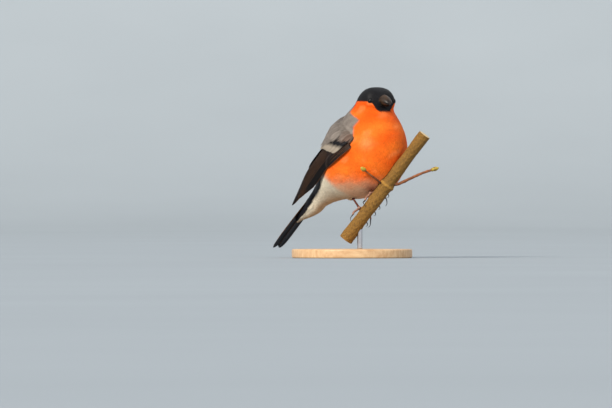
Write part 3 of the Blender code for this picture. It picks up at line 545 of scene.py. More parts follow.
# Where each marking starts and is full: heights and distances in mm, angles down from
# the back in radians, rows of the profile, or the value of a wave
spans = {
    "cheekHeight": (33, 42),
    "cheekForward": (18, 8),
    "throatHeight": (22, 34),
    "throatForward": (8, 16),
    "paleWave": (0.25, 0.9),
    "bellyDepth": (11.5, 24),
    "bellyForward": (31, 16),
    "creamDepth": (18, 27),
    "ventDepth": (29.5, 38.5),
    "ventShadeAngle": (2.35, 2.9),
    "ventShadeRow": (9, 8),
    "greyAngle": (-0.05, 0.07),
    "rumpRow": (9.2, 8.4),
    "rumpAngle": (1.25, 1.05),
    "blackAngle": (-0.08, 0.08),
    "blackRow": (7.15, 6.75),
    "bibForward": (12, 17),
    "bibSide": (12, 4.5),
    "capHeight": (-0.35, 0.35),
}


def spanned(name, x):
    return smoothStep(x, *spans[name])


def mixed(a, b, share):
    return a + (b - a) * share[..., None]


# Slow rise and fall over the body: three crossed sine waves of about the given
# length in mm, between -1 and 1
def mottle(point, wave, shift=0.0):
    turns = point * (2 * math.pi / wave)
    first = np.sin(turns[..., 0] + 1.7 * np.sin(turns[..., 2] * 0.6 + shift))
    second = np.sin(turns[..., 1] * 0.9 + turns[..., 2] + shift * 2.3)
    third = np.sin(turns[..., 2] * 1.3 - turns[..., 0] * 0.7 + shift * 1.1)
    return (first + second + third) / 3


# A bell round a patch's middle
def patchShare(place, patch):
    return patch["strength"] * np.exp(-(((place - patch["at"]) / patch["reach"]) ** 2).sum(-1))


def downFromBack(angle):
    return abs((angle + math.pi) % (2 * math.pi) - math.pi)


# Colour of the coat at a place on the body: orange first, then the belly's fade,
# white behind, grey above and the black cap over all
# Some marks are painted light: a highlight on the breast, and shade by the thigh, along the vent's lower edge
# and at the top of the black over the tail
def markings(point, station, angle):
    forward, out, height = point[..., 0], abs(point[..., 1]), point[..., 2]
    place = np.stack([forward, out, height], -1)
    fromBack = downFromBack(angle)
    low = -height + 1.5 * mottle(point, 12, 1.0)
    cheek = spanned("cheekHeight", height) * spanned("cheekForward", forward)
    throat = spanned("throatHeight", height) * spanned("throatForward", forward)
    belly = spanned("bellyDepth", low) * spanned("bellyForward", forward)
    front = [
        ("deepOrange", 0.4 + 0.4 * mottle(point, 26, 0.8)),
        ("deepOrange", 0.75 * cheek),
        ("deepOrange", 0.6 * throat),
        ("paleOrange", 0.3 * spanned("paleWave", mottle(point, 15, 2.0))),
        ("flankFade", 0.85 * belly),
        ("cream", 0.75 * spanned("creamDepth", low)),
        # the thigh's patch, partly painted shade of the hollow by the leg
        ("thigh", patchShare(place, thighFluffAndShade)),
        # painted highlight on the breast, partly paler parted feathers
        ("paleOrange", patchShare(place, paleSpotAndHighlight)),
    ]
    colour = plumage["orange"]
    for name, share in front:
        colour = mixed(colour, plumage[name], share)
    # Painted shade: tan along the white vent's lower edge, low on the underside towards the tail
    buffAndShade = spanned("ventShadeAngle", fromBack) * spanned("ventShadeRow", station)
    under = mixed(plumage["white"] + 0 * colour, plumage["buffAndShade"], 0.7 * buffAndShade)
    colour = mixed(colour, under, spanned("ventDepth", -0.8 * forward - 0.9 * height))
    edge = np.radians(np.interp(station, greyEdge["rows"], greyEdge["degrees"]))
    grey = mixed(plumage["grey"], plumage["paleGrey"], 0.5 + 0.5 * mottle(point, 9, 4.0))
    colour = mixed(colour, grey, spanned("greyAngle", edge - fromBack) * (station > 8))
    rump = spanned("rumpRow", station) * spanned("rumpAngle", fromBack)
    colour = mixed(colour, plumage["white"], rump)
    reach = np.interp(station, tailBlackAndShadow["rows"], tailBlackAndShadow["reach"])
    overTail = spanned("blackAngle", reach - fromBack) * spanned("blackRow", station)
    colour = mixed(colour, plumage["black"], overTail)
    bib = spanned("bibForward", forward) * spanned("bibSide", out)
    overEdge = height - capEdge["height"] + capEdge["dip"] * bib
    return mixed(colour, plumage["cap"], spanned("capHeight", overEdge) * (station > 14))


# Feathers

evenSteps = (0.7548776662, 0.5698402910)  # steps in two ways that never clump


# Places spread evenly over a sheet: a sequence that fills a square without clumps,
# pushed through the running total of the wanted number for each mm2
def spreadRoots(sheet, pSpan, qSpan, perArea, rows=160, columns=240):
    pEdges, qEdges = np.linspace(*pSpan, rows + 1), np.linspace(*qSpan, columns + 1)
    p, q = np.meshgrid((pEdges[1:] + pEdges[:-1]) / 2, (qEdges[1:] + qEdges[:-1]) / 2, indexing="ij")
    _, _, alongP, alongQ = sheetFrame(sheet, p, q)
    area = np.linalg.norm(np.cross(alongP, alongQ), axis=-1)
    weight = area * perArea(p, q) * (pEdges[1] - pEdges[0]) * (qEdges[1] - qEdges[0])
    number = int(weight.sum())
    k = np.arange(1, number + 1)
    a, b = ((0.5 + k * step) % 1 for step in evenSteps)
    rowRun = np.append(0, np.cumsum(weight.sum(1))) / weight.sum()
    row = np.clip(np.searchsorted(rowRun, a) - 1, 0, rows - 1)
    atP = np.interp(a, rowRun, pEdges)
    run = np.cumsum(weight, 1) / weight.sum(1, keepdims=True)
    column = np.minimum((run[row] < b[:, None]).sum(1), columns - 1)
    before = np.where(column > 0, run[row, column - 1], 0)
    inside = (b - before) / np.maximum(run[row, column] - before, 1e-9)
    return atP, qEdges[column] + np.clip(inside, 0, 1) * (qEdges[1] - qEdges[0])


# The make of every lock
lock = {
    "jitter": 0.12,  # of its place across the feather
    "roots": 0.3,  # share of the feather's width that the locks' roots take up
    "opening": 0.7,  # power by which they spread from there
    "steps": (0, 0.3, 0.7, 1),
    "taper": (0.55, 1, 0.92, 0),  # share of the half width at those steps
    "uneven": 0.15,
    "bulge": 0.3,  # how far the two sides are lit as if they faced aside
    "patch": 0.003,  # width of a feather's place on the bake map
}


# One value for each feather, spread over its locks and their steps
def each(values):
    return values[:, None, None]


# The triangles of one lock, and which of them lie underneath: a strip on each of the
# three sides, three to the point and one over the root
def lockFaces(last):
    tris, under = [], []
    for i in range(last - 1):
        left, right, ridge = 3 * i, 3 * i + 1, 3 * i + 2
        for a, b in ((left, ridge), (ridge, right), (right, left)):
            tris += [(a, b, b + 3), (a, b + 3, a + 3)]
            under += [a == right] * 2
    left, right, ridge, point = range(3 * last - 3, 3 * last + 1)
    tris += [(left, ridge, point), (ridge, right, point), (right, left, point), (0, 1, 2)]
    return np.array(tris), under + [False, False, True, True]


# Feathers as fans of locks. Every lock is a closed three-sided blade that leaves the
# feather's root, follows the sheet as it rises from the skin to the coat's surface,
# spreads to its share of the width and ends in a point. way is 1 where feathers point
# along p, -1 against it. Lengths are in mm, one for each feather, and colour is a
# function of the place
def featherFans(sheet, p, q, way, flip, size, colour, bakeAt, settle=None):
    n, locks, steps = len(p), size["locks"], np.array(size["steps"])
    _, normal, alongP, alongQ = sheetFrame(sheet, p, q, flip)
    forwardWay = unit(alongP) * way
    turn = draw.normal(0, size["stray"], n)[:, None]
    lie = np.cos(turn) * forwardWay + np.sin(turn) * np.cross(normal, forwardWay)
    # The sheet's own slopes turned into shares of p and q for each mm
    pp, qq, pq = (alongP**2).sum(-1), (alongQ**2).sum(-1), (alongP * alongQ).sum(-1)
    area = np.maximum(pp * qq - pq**2, 1e-9)

    def shares(way3):
        onP, onQ = (way3 * alongP).sum(-1), (way3 * alongQ).sum(-1)
        return each((onP * qq - onQ * pq) / area), each((onQ * pp - onP * pq) / area)

    # A blade's left, right and ridge at every step but the last, then its point
    def blades(left, right, ridge, point):
        sides = np.stack([left, right, ridge], 3)[:, :, :-1].reshape(n, locks, -1, *point.shape[3:])
        return np.concatenate([sides, point[:, :, -1:]], 2)

    (lieP, lieQ), (acrossP, acrossQ) = shares(lie), shares(np.cross(normal, lie))
    spread = np.linspace(-1, 1, locks) + draw.normal(0, lock["jitter"], (n, locks))
    ragged = draw.normal(0, size["ragged"], (n, locks))
    y = (size["length"][:, None] * (1 - size["roundness"] * spread**2 + ragged))[..., None] * steps
    spread = spread[..., None]
    opened = lock["roots"] + (1 - lock["roots"]) * steps ** lock["opening"]
    x = each(size["width"]) / 2 * spread * opened
    atP, atQ = each(p) + x * acrossP + y * lieP, each(q) + x * acrossQ + y * lieQ
    spine, over, _, _ = sheetFrame(sheet, atP, atQ, flip)
    lift = each(draw.normal(0, size["lift"], n))
    lift = lift + draw.normal(0, size["lift"] * 0.5, (n, locks))[..., None]
    rise = each(size["tipHeight"] - size["rootHeight"]) * steps ** size["bow"]
    height = each(size["rootHeight"]) + rise + lift * steps**2 - size["droop"] * spread**2 * steps
    spine = spine + over * height[..., None] * mm
    beside = np.cross(over, unit(np.gradient(spine, axis=2)))
    taper = np.interp(steps, lock["steps"], lock["taper"])
    half = each(size["width"] / locks * size["overlap"]) * taper
    half = half * (1 + draw.normal(0, lock["uneven"], (n, locks)))[..., None]
    aside = beside * half[..., None] * mm
    ridge = spine + over * (size["ridge"] * (taper * 0.8 + 0.2))[..., None] * mm
    points = blades(spine + aside, spine - aside, ridge, spine).reshape(-1, 3)
    localX = blades(x + half, x - half, x, x) / each(size["width"])
    localY = blades(y, y, y, y) / each(size["length"])
    one, under = lockFaces(len(steps) - 1)
    tris = one[None] + (np.arange(n * locks) * (one.max() + 1))[:, None, None]
    # Locks are lit almost as the coat's own surface is, each only a little rounded
    faceWay = unit(blades(over + lock["bulge"] * beside, over - lock["bulge"] * beside, over, over))
    upWay = np.where(np.tile(under, n * locks), -1.0, 1.0)[:, None, None]
    corners = faceWay.reshape(-1, 3)[tris.reshape(-1, 3)] * upWay
    shade = 1 + draw.normal(0, size["streak"], (n, locks))[..., None, None]
    # Darker towards the root: partly the feather's own grey base, partly painted shade under the feathers
    # that overlap it
    fade = size["rootShade"] + (1 - size["rootShade"]) * np.clip(localY, 0, 1)[..., None] ** 0.6
    base = np.broadcast_to(colour(atP, atQ), (*atP.shape, 3))
    paint = blades(base, base, base, base) * np.clip(shade, 0.5, 1.6) * fade
    bake = np.clip(each(bakeAt) + np.stack([localX, localY - 0.5], -1) * lock["patch"], 0, 1)
    vane = np.stack([localX + 0.5, localY], -1)
    if settle is not None:
        points = settle(points)
    return points, *[part.reshape(-1, part.shape[-1]) for part in (tris, paint, vane, bake, corners)]


def coatPiece(name, fans, material):
    points, tris, paint, vane, bake, faceWay = fans
    print(f"  {name}: {len(tris)} triangles")
    newPiece(name, points, tris, material, (), {"OFBake": bake, "vane": vane}, paint, faceWay)


# Materials of the plumage

# Contour feathers: keratin barbs that lie loose, so the surface is matt and soft,
# with a pale glow where light grazes the free barb ends. The colour is the coat's own
def looseFeather(name, sheen, roughness):
    made, tree, surface = newMaterial(
        name, Roughness=roughness, Sheen_Weight=sheen, Sheen_Roughness=0.45, Specular_IOR_Level=0.15
    )
    paint = addNode(tree, "VertexColor", layer_name="plumage").outputs["Color"]
    place = addNode(tree, "TexCoord").outputs["Object"]
    # Barbs are about 0.2 mm apart; drawn at 0.5 mm so that they show
    grain = addNode(tree, "TexNoise", {"Vector": place, "Scale": 1900.0, "Detail": 2.0}).outputs["Fac"]
    span = {"From Min": 0.25, "From Max": 0.75, "To Min": 0.86, "To Max": 1.12}
    tone = addNode(tree, "MapRange", {"Value": grain, **span}).outputs["Result"]
    addNode(tree, "Mix", {"Factor": 1.0, 6: paint, 7: tone}, {2: surface["Base Color"]}, **multiply)
    bump = {"Strength": 0.25, "Distance": 0.0001, "Height": grain}
    addNode(tree, "Bump", bump, {"Normal": surface["Normal"]})
    return made


softFeathers = looseFeather("loose_contour_feathers", 0.05, 0.85)
capFeathers = looseFeather("short_glossy_cap_feathers", 0.04, 0.55)


# Flight feathers: stiff keratin vanes zipped flat, smooth enough for a low violet
# gloss. On the map, x runs across the vane and y from quill to tip
def vaneMaterial(name, inner, edge, tip, edgeWidth, tipFrom, tipBlend, roughness):
    made, tree, surface = newMaterial(
        name, Roughness=roughness, Specular_IOR_Level=0.16, Coat_Weight=0.03, Coat_Roughness=0.3,
        Coat_Tint=rgba("9d93c8"),
    )
    flat = addNode(tree, "UVMap", uv_map="vane").outputs["UV"]
    axes = addNode(tree, "SeparateXYZ", {"Vector": flat}).outputs
    place = addNode(tree, "TexCoord").outputs["Object"]
    cloud = addNode(tree, "TexNoise", {"Vector": place, "Scale": 260.0, "Detail": 3.0}).outputs["Fac"]
    rough = addNode(tree, "Math", {0: cloud, 1: 0.06}, operation="MULTIPLY").outputs[0]
    slant = addNode(tree, "Math", {0: axes["X"], 1: 0.5}, operation="SUBTRACT").outputs[0]
    away = addNode(tree, "Math", {0: slant}, operation="ABSOLUTE").outputs[0]
    edgeAt = addNode(tree, "Math", {0: away, 1: rough}, operation="SUBTRACT").outputs[0]
    span = {"From Min": 0.45 - edgeWidth, "From Max": 0.5 - edgeWidth}
    atEdge = addNode(tree, "MapRange", {"Value": edgeAt, **span}).outputs["Result"]
    tipAt = addNode(tree, "Math", {0: axes["Y"], 1: rough}, operation="ADD").outputs[0]
    span = {"From Min": tipFrom, "From Max": tipFrom + tipBlend}
    atTip = addNode(tree, "MapRange", {"Value": tipAt, **span}).outputs["Result"]
    withEdge = addNode(tree, "Mix", {"Factor": atEdge, 6: rgba(inner), 7: rgba(edge)}, **blend)
    colours = {"Factor": atTip, 6: withEdge.outputs[2], 7: rgba(tip)}
    addNode(tree, "Mix", colours, {2: surface["Base Color"]}, **blend)
    # Barbs run out and forwards from the shaft; real ones are 0.15 mm apart, drawn at
    # about 0.6 mm
    barbAt = addNode(tree, "Math", {0: away, 1: -0.22, 2: axes["Y"]}, operation="MULTIPLY_ADD").outputs[0]
    barbTurn = addNode(tree, "Math", {0: barbAt, 1: 420.0}, operation="MULTIPLY").outputs[0]
    barb = addNode(tree, "Math", {0: barbTurn}, operation="SINE").outputs[0]
    bump = {"Strength": 0.3, "Distance": 0.00008, "Height": barb}
    addNode(tree, "Bump", bump, {"Normal": surface["Normal"]})
    return made


# Colours of the vane, its edges and its tip, the edges' width, where along the vane
# the tip's colour starts and over how much it blends in, and the roughness
vaneLooks = {
    "flight": ("flight_feather_vane", "0a0605", "6a4b35", "1c1410", 0.06, 0.95, 0.05, 0.42),
    "tertials": ("tertial_vane", "08070d", "100e16", "08070d", 0.03, 0.99, 0.01, 0.36),
    "greater": ("greater_covert_vane", "09080c", "14110f", "978b7b", 0.0, 0.5, 0.22, 0.6),
    "primaryCoverts": ("primary_covert_vane", "150d0a", "6b4a36", "2c1f17", 0.08, 0.93, 0.06, 0.5),
    # The tail's brown edges are painted highlight; the real tail is glossy black
    "tail": ("tail_vane_edge_highlight", "0e0b11", "7d5a3e", "120e10", 0.035, 0.98, 0.02, 0.34),
}
vaneFinish = {tier: vaneMaterial(*look) for tier, look in vaneLooks.items()}


# Skin under the coat

print("skin")
# The skin takes the coat's colours darkened, as painted shade deep under the feathers
skin = {"underCoat": 0.25, "offPerch": 1.6, "shade": 0.6}  # the shade is its share of the coat's light
station = np.linspace(0, lastRow, body["skinRows"])[:, None]
station, angle = np.broadcast_arrays(station, fullTurn(body["skinColumns"])[None])
skinPoints, skinNormal, _, _ = sheetFrame(bodySheet, station, angle)
coatDepth = np.interp(station, body["rows"], body["depth"])
skinPoints = skinPoints - skinNormal * (coatDepth + skin["underCoat"])[..., None] * mm
skinPoints = clearOfFeet(skinPoints, skin["offPerch"])
skinColour = markings(bodyPoint(station, angle)[0], station, angle) * skin["shade"]
ringPiece("body_skin", skinPoints, softFeathers, ("torso", "neck", "head"), skinColour)


# Folded wings

wing = {
    # From the bend to the tip: lower edge, crest and upper edge, each as forward, out, up
    "rows": np.array(
        [
            [10.0, 28.4, 14.5, -11.0, 23.4, 26.5, -15.5, 9.0, 33.5],
            [2.5, 30.2, 7.8, -19.0, 22.3, 20.0, -22.5, 6.5, 27.0],
            [-9.0, 29.6, 0.5, -25.0, 21.2, 12.5, -28.5, 4.8, 18.0],
            [-19.4, 26.6, -5.6, -32.0, 20.8, 3.5, -34.5, 4.3, 7.6],
            [-28.5, 23.4, -13.2, -39.5, 19.6, -4.0, -41.0, 4.5, -2.6],
            [-38.5, 19.5, -21.3, -47.5, 18.4, -12.3, -49.0, 5.6, -12.5],
            [-51.5, 16.6, -28.0, -56.0, 16.0, -22.8, -57.4, 8.8, -23.8],
            [-66.0, 14.0, -37.8, -66.4, 13.4, -36.5, -66.3, 12.2, -36.6],
        ]
    ),
    "crest": 0.6,
    "flightTips": [0.93, 1.0, 0.985, 0.95, 0.905, 0.865, 0.83, 0.79, 0.75, 0.71, 0.66, 0.6, 0.55],
    "primaries": dict(
        count=16, root=0.2, places=(0.03, 0.88), tipPlaces=(0.06, 0.92), width=7.4, rise=1.0, lift=0.0
    ),
    "tertials": dict(
        count=3, length=0.4, tips=(0.66, 0.6, 0.53), places=(0.7, 0.95), width=9.0, rise=1.2, lift=0.9
    ),
    "greater": dict(
        count=13, length=0.23, tips=(0.262, 0.283, 0.305, 0.335, 0.365, 0.385, 0.4, 0.408, 0.412),
        places=(0.1, 0.96), width=6.2, rise=0.9, lift=1.3,
    ),
    "primaryCoverts": dict(
        count=5, length=0.34, tips=(0.45, 0.42, 0.38), places=(-0.02, 0.08), width=4.0, rise=0.8, lift=1.0
    ),
    "narrowFrom": 0.7,  # the place along the wing past which a long feather's tip narrows it
    "narrowBy": 0.35,
    "bedding": 3.0,  # how deep the roots lie
    "uneven": {"tip": 0.004, "lift": 0.04},
    "shaftOff": -0.15,  # of half a vane's width, from its middle
}


# The parabola through lower edge, crest and upper edge at each place along the wing
def wingBody(along, across):
    row = alongRows(wing["rows"], along * (len(wing["rows"]) - 1))
    low, crest, high = row[..., :3], row[..., 3:6], row[..., 6:]
    m, c = across[..., None], wing["crest"]
    return low * (m - c) * (m - 1) / c + crest * m * (m - 1) / (c * (c - 1)) + high * m * (m - c) / (1 - c)


def wingSheet(side):
    def sheet(along, across):
        along, across = np.broadcast_arrays(np.asarray(along, float), np.asarray(across, float))
        return toWorld(wingBody(along, across) * [1, side, 1])
    return sheet


vane = {
    "steps": np.array([0, 0.06, 0.15, 0.26, 0.38, 0.5, 0.62, 0.73, 0.82, 0.89, 0.94, 0.975, 1.0]),
    "outline": np.array([0.3, 0.62, 0.85, 0.96, 1.0, 1.0, 0.98, 0.94, 0.86, 0.74, 0.58, 0.38, 0.08]),
    "columns": 9,
    "thickness": 0.16,
    "shaft": 0.32,
    "shaftReach": 0.12,  # of half the width
    "shaftBelow": 0.6,  # how much of the shaft shows underneath
    "camber": 0.45,
}


# A closed vane: across it x runs from -1 to 1, the height is a camber that falls with
# x squared and a shaft that is a narrow bell at the middle, and the two faces stand
# apart by a thickness that thins to the edges. Sixteen vanes share a bake map
def vanePart(centre, across, normal, width, number, shaftOff):
    x = np.linspace(-1, 1, vane["columns"])
    shaft = vane["shaft"] * np.exp(-(((x - shaftOff) / vane["shaftReach"]) ** 2))
    top = -vane["camber"] * x**2 * width[:, None] / 8 + shaft
    thick = vane["thickness"] * (1.15 - abs(x))
    flat = centre[:, None] + across[:, None] * (x[:, None] * width[:, None, None] / 2) * mm
    upper = flat + normal[:, None] * (top + thick / 2)[..., None] * mm
    lower = flat + normal[:, None] * (top - shaft * vane["shaftBelow"] - thick / 2)[..., None] * mm
    grid = np.concatenate([upper, lower[:, ::-1]], 1)
    shape = grid.shape[:2]
    acrossMap = np.broadcast_to((np.concatenate([x, x[::-1]]) + 1) / 2, shape).ravel()
    alongMap = np.broadcast_to(vane["steps"][:, None], shape).ravel()
    local = np.stack([np.append(acrossMap, [0.5, 0.5]), np.append(alongMap, [0, 1])], -1)
    under = np.append(np.broadcast_to(np.repeat([0, 0.5], len(x)), shape).ravel(), [0, 0])
    bake = np.stack([under + local[:, 0] * 0.48, local[:, 1]], -1)
    bake = (bake * 0.96 + 0.02 + [number % 4, number // 4]) / 4
    return withCaps(grid), ringFaces(*shape), local, bake


# One vane on a wing, tilted so that its lower edge stands over the neighbour below.
# ends are the root's and the tip's places along the wing, places those across it
def wingVane(side, ends, places, size, number, narrow=1.0, lift=0.0):
    along, place = between(*ends, vane["steps"]), between(*places, vane["steps"])
    middle, normal, _, alongQ = sheetFrame(wingSheet(side), along, place, side)
    bedding = size["lift"] + lift - wing["bedding"] * (1 - vane["steps"]) ** 4
    middle = middle + normal * bedding[:, None] * mm
    across = unit(alongQ - normal * (alongQ * normal).sum(-1, keepdims=True))
    tilt = math.atan2(size["rise"], size["width"])
    leaning = unit(across * math.cos(tilt) - normal * math.sin(tilt))
    roof = unit(normal * math.cos(tilt) + across * math.sin(tilt))
    width = size["width"] * narrow * vane["outline"]
    return vanePart(middle, leaning, roof, width, number, wing["shaftOff"])


def vanePiece(name, parts, finish, stands=()):
    points, tris, local, bake = joined(parts)
    tris = facesOut(points, tris)
    print(f"  {name}: {len(tris)} triangles")
    maps = {"OFBake": bake, "vane": local}
    newPiece(name, points, tris, vaneFinish[finish], stands, maps)


# The long feathers narrow towards the wing's tip
def primaries(side):
    size, parts = wing["primaries"], []
    for i, share in enumerate(np.linspace(0, 1, size["count"])):
        tip = np.interp(share * 12, range(13), wing["flightTips"])
        places = between(*size["places"], share), between(*size["tipPlaces"], share)
        past = max(0.0, tip - wing["narrowFrom"]) / (1 - wing["narrowFrom"])
        parts.append(wingVane(side, (size["root"], tip), places, size, i, 1 - wing["narrowBy"] * past))
    return parts


def tierOf(side, size):
    parts = []
    for i, share in enumerate(np.linspace(0, 1, size["count"])):
        place = between(*size["places"], share)
        tip = np.interp(share, np.linspace(0, 1, len(size["tips"])), size["tips"])
        tip = tip + draw.normal(0, wing["uneven"]["tip"])
        lift = draw.normal(0, wing["uneven"]["lift"])
        parts.append(wingVane(side, (tip - size["length"], tip), (place, place), size, i, lift=lift))
    return parts


print("wings")
sides = {"right": 1, "left": -1}
tiers = {"tertials": "tertials", "greater_coverts": "greater", "primary_coverts": "primaryCoverts"}
for word, side in sides.items():
    vanePiece(f"flight_feathers_{word}", primaries(side), "flight", (f"wing_{word}",))
    for name, tier in tiers.items():
        vanePiece(f"{name}_{word}", tierOf(side, wing[tier]), tier)


# Grey lesser and median coverts and shoulder feathers, as fans on the wing's sheet
covertSize = dict(
    locks=9, steps=(0, 0.3, 0.65, 1), stray=0.08, roundness=0.22, ragged=0.05, lift=0.08, bow=0.6, droop=0.3,
    overlap=1.05, ridge=0.1, streak=0.07, rootShade=0.7,
)
greyCover = {
    "along": (-0.15, 0.31),
    "across": (0.03, 1.08),
    "spacing": 2.0,
    "length": 7.6,
    "width": 5.4,
    "warmth": 0.6,
    "tipBeyond": 0.085,  # places along the wing from a feather's root to its tip
    # warm brown as painted shade on the lowest and foremost coverts, beside the orange breast
    "warm": linear("6a4836"),  # the shade of the lowest and foremost ones
}


# How far down the wing the grey reaches: short at the lower edge and at the notch
# where the black bases of the greater coverts show, longer towards the back
def greyReach(across):
    return np.interp(across, [0.0, 0.06, 0.12, 0.2, 0.26, 0.31, 0.38, 0.5, 0.6, 1.0],
                     [0.05, 0.035, 0.03, 0.04, 0.08, 0.16, 0.24, 0.31, 0.335, 0.36])


# The coverts' own height over the sheet: they come up from under the mantle
def coverHeight(along):
    return np.interp(along, [-0.15, -0.1, -0.05, 0.02, 0.1], [-7.5, -5.0, -2.4, 0.6, 1.9])


# Each place as its share of a span
def shareOf(span, place):
    return (place - span[0]) / (span[1] - span[0])


for word, side in sides.items():
    sheet = wingSheet(side)
    p, q = spreadRoots(
        sheet, greyCover["along"], greyCover["across"],
        lambda p, q: (p < greyReach(q) - greyCover["tipBeyond"]) / greyCover["spacing"] ** 2,
    )
    n = len(p)
    shade = mixed(plumage["grey"], plumage["paleGrey"], draw.uniform(0, 1, n))
    # Painted warm shade on the lowest and foremost coverts
    warm = smoothStep(0.3 - q, 0.0, 0.25) * smoothStep(0.12 - p, 0, 0.1)
    shade = mixed(shade, greyCover["warm"], warm * greyCover["warmth"])
    size = covertSize | dict(
        length=greyCover["length"] * draw.uniform(0.85, 1.1, n), width=np.full(n, greyCover["width"]),
        rootHeight=coverHeight(p) - 0.8, tipHeight=coverHeight(p + 0.08) + 0.5,
    )
    bakeAt = np.stack([shareOf(greyCover["along"], p), shareOf(greyCover["across"], q)], -1) * 0.96 + 0.02
    fans = featherFans(sheet, p, q, 1, side, size, lambda a, b: each(shade), bakeAt)
    coatPiece(f"wing_coverts_{word}", fans, softFeathers)


# Coat of the body

print("coat")
hidden = np.meshgrid(np.linspace(0.06, 0.5, 40), np.linspace(0.2, 0.86, 26), indexing="ij")
wingHides = np.concatenate([wingSheet(side)(*hidden).reshape(-1, 3) for side in sides.values()])


# Distance from each point to the nearest of a set, in mm
def nearest(points, others):
    distance = np.full(len(points), 1e9)
    for start in range(0, len(others), 200):
        block = others[start : start + 200]
        gap = np.linalg.norm(points[:, None] - block[None], axis=-1).min(1)
        distance = np.minimum(distance, gap)
    return distance / mm


def featherLength(station):
    return np.interp(station, body["rows"], body["length"])


coat = {
    "spacing": 0.27,  # of a feather's length
    "fromWing": 2.8,  # no feather roots nearer than this to a wing's hidden side
    "back": 1.5,  # radians down from the ridge that count as the back
    "backGain": 1.3,  # how much longer its feathers are
    "tipAt": 0.85,  # of the length, where a feather's colour is taken
    "ownPlace": 0.55,  # how much of its own place's colour each point keeps
    "black": 0.08,  # sum of red, green and blue under which a feather is a black one
    "offFeet": 0.35,
    "eyeReach": (4.2, 2.6),  # from the eye, where the coat starts to rise and is full
}
rootP, rootQ = spreadRoots(
    bodySheet, (0.2, lastRow - 0.02), (0, 2 * math.pi),
    lambda station, angle: 1 / (coat["spacing"] * featherLength(station)) ** 2,
)
shown = nearest(bodySheet(rootP, rootQ), wingHides) > coat["fromWing"]
rootP, rootQ = rootP[shown], rootQ[shown]
length = featherLength(rootP) * draw.uniform(0.88, 1.1, len(rootP))
onBack = downFromBack(rootQ) < coat["back"]
length = length * np.where(onBack & (rootP > 9) & (rootP < 13.5), coat["backGain"], 1.0)
# Where each feather's tip lies, to take its colour from
_, _, alongP, _ = sheetFrame(bodySheet, rootP, rootQ)
tipP = np.clip(rootP - coat["tipAt"] * length / np.linalg.norm(alongP, axis=-1), 0, lastRow)
isBlack = markings(bodyPoint(tipP, rootQ)[0], tipP, rootQ).sum(1) < coat["black"]
# A feather belongs to the first of these that it lies in
places = {
    "coat_cap": isBlack & (rootP > 14),
    "coat_over_tail": isBlack & (rootP < 8),
    "coat_cheeks_throat": rootP > 15.2,
    "coat_upper_breast": rootP > 12.6,
    "coat_mantle": (rootP > 8.6) & onBack,
    "coat_breast": rootP > 11,
    "coat_belly": rootP > 9,
    "coat_flanks": rootP > 6.8,
}
zone = np.select(list(places.values()), list(places), "coat_vent_rump")
bodyFan = dict(
    locks=9, steps=(0, 0.35, 0.7, 1), stray=0.1, roundness=0.24, ragged=0.06, lift=0.05, bow=0.25, droop=0.12,
    overlap=1.3, ridge=0.07, streak=0.05, rootShade=0.85, tipHeight=0.05,
)
# Each zone's width as a share of the length, and how its feathers differ from those
zones = {
    "coat_cap": dict(aspect=0.6, locks=5, steps=(0, 0.5, 1), streak=0.15, rootShade=0.7),
    "coat_cheeks_throat": dict(aspect=0.62, locks=7, steps=(0, 0.5, 1), ridge=0.05, streak=0.04),
    "coat_upper_breast": dict(aspect=0.66, lift=0.035, ridge=0.06, streak=0.04),
    "coat_mantle": dict(aspect=0.66, rootShade=0.75),
    "coat_breast": dict(aspect=0.66, lift=0.035, ridge=0.06, streak=0.04),
    "coat_belly": dict(aspect=0.62),
    "coat_flanks": dict(aspect=0.62),
    "coat_vent_rump": dict(aspect=0.6, streak=0.04),
    "coat_over_tail": dict(aspect=0.5, lift=0.1, ridge=0.09, streak=0.12, rootShade=0.8, tipHeight=0.4),
}
blackZones = ("coat_cap", "coat_over_tail")
for name, look in zones.items():
    chosen = zone == name
    p, q, long = rootP[chosen], rootQ[chosen], length[chosen]
    tone = 1 + draw.normal(0, 0.05, (len(p), 1, 1, 1))
    tipAt = each(tipP[chosen])

    # Between the point's own place and the feather's tip
    def coatColour(atP, atQ):
        onP = np.clip(tipAt + (atP - tipAt) * coat["ownPlace"], 0, lastRow)
        return markings(bodyPoint(onP, atQ)[0], onP, atQ) * tone

    size = bodyFan | look
    fromEyes = nearest(bodySheet(p, q), np.array([eyeSeat(side)[0] for side in sides.values()]))
    rise = size["tipHeight"] + eye["coatRise"] * smoothStep(fromEyes, *coat["eyeReach"])
    depth = np.interp(p, body["rows"], body["depth"])
    size |= dict(length=long, width=long * look["aspect"], rootHeight=-depth, tipHeight=rise)
    bakeAt = np.stack([q / (2 * math.pi), (p - p.min()) / np.ptp(p)], -1) * 0.98 + 0.01
    fans = featherFans(
        bodySheet, p, q, -1, 1, size, coatColour, bakeAt,
        lambda points: clearOfEyes(clearOfFeet(points, coat["offFeet"])),
    )
    if name in blackZones:
        coatPiece(name, fans, capFeathers)
    else:
        coatPiece(name, fans, softFeathers)


# Tail

tail = {
    "feathers": 12,
    "middle": 5.5,  # halfway between the numbers of the middle pair
    "root": (-44.5, -20.8),  # forward, up
    "slope": math.radians(45.3),  # below level
    "lengths": (68.0, 71.0),  # middle pair, outermost pair
    "width": 7.4,
    "spread": (0.5, 0.62),  # between neighbours, at root and tip
    "over": 2.2,  # height of the middle pair
    "step": 0.42,  # down from each pair to the next
    "sideStep": 0.2,  # down from a right feather to its left fellow
    "arch": 0.02,
    "archLength": 90.0,
    "tucked": 1.5,  # how far the quills reach under the coat
    "shaftOff": -0.25,
    "outline": np.array([0.4, 0.6, 0.74, 0.84, 0.9, 0.95, 0.99, 1.0, 0.99, 0.94, 0.82, 0.6, 0.25]),
}
tailBack = np.array([-math.cos(tail["slope"]), 0.0, -math.sin(tail["slope"])])
tailOver = np.array([-math.sin(tail["slope"]), 0.0, math.cos(tail["slope"])])


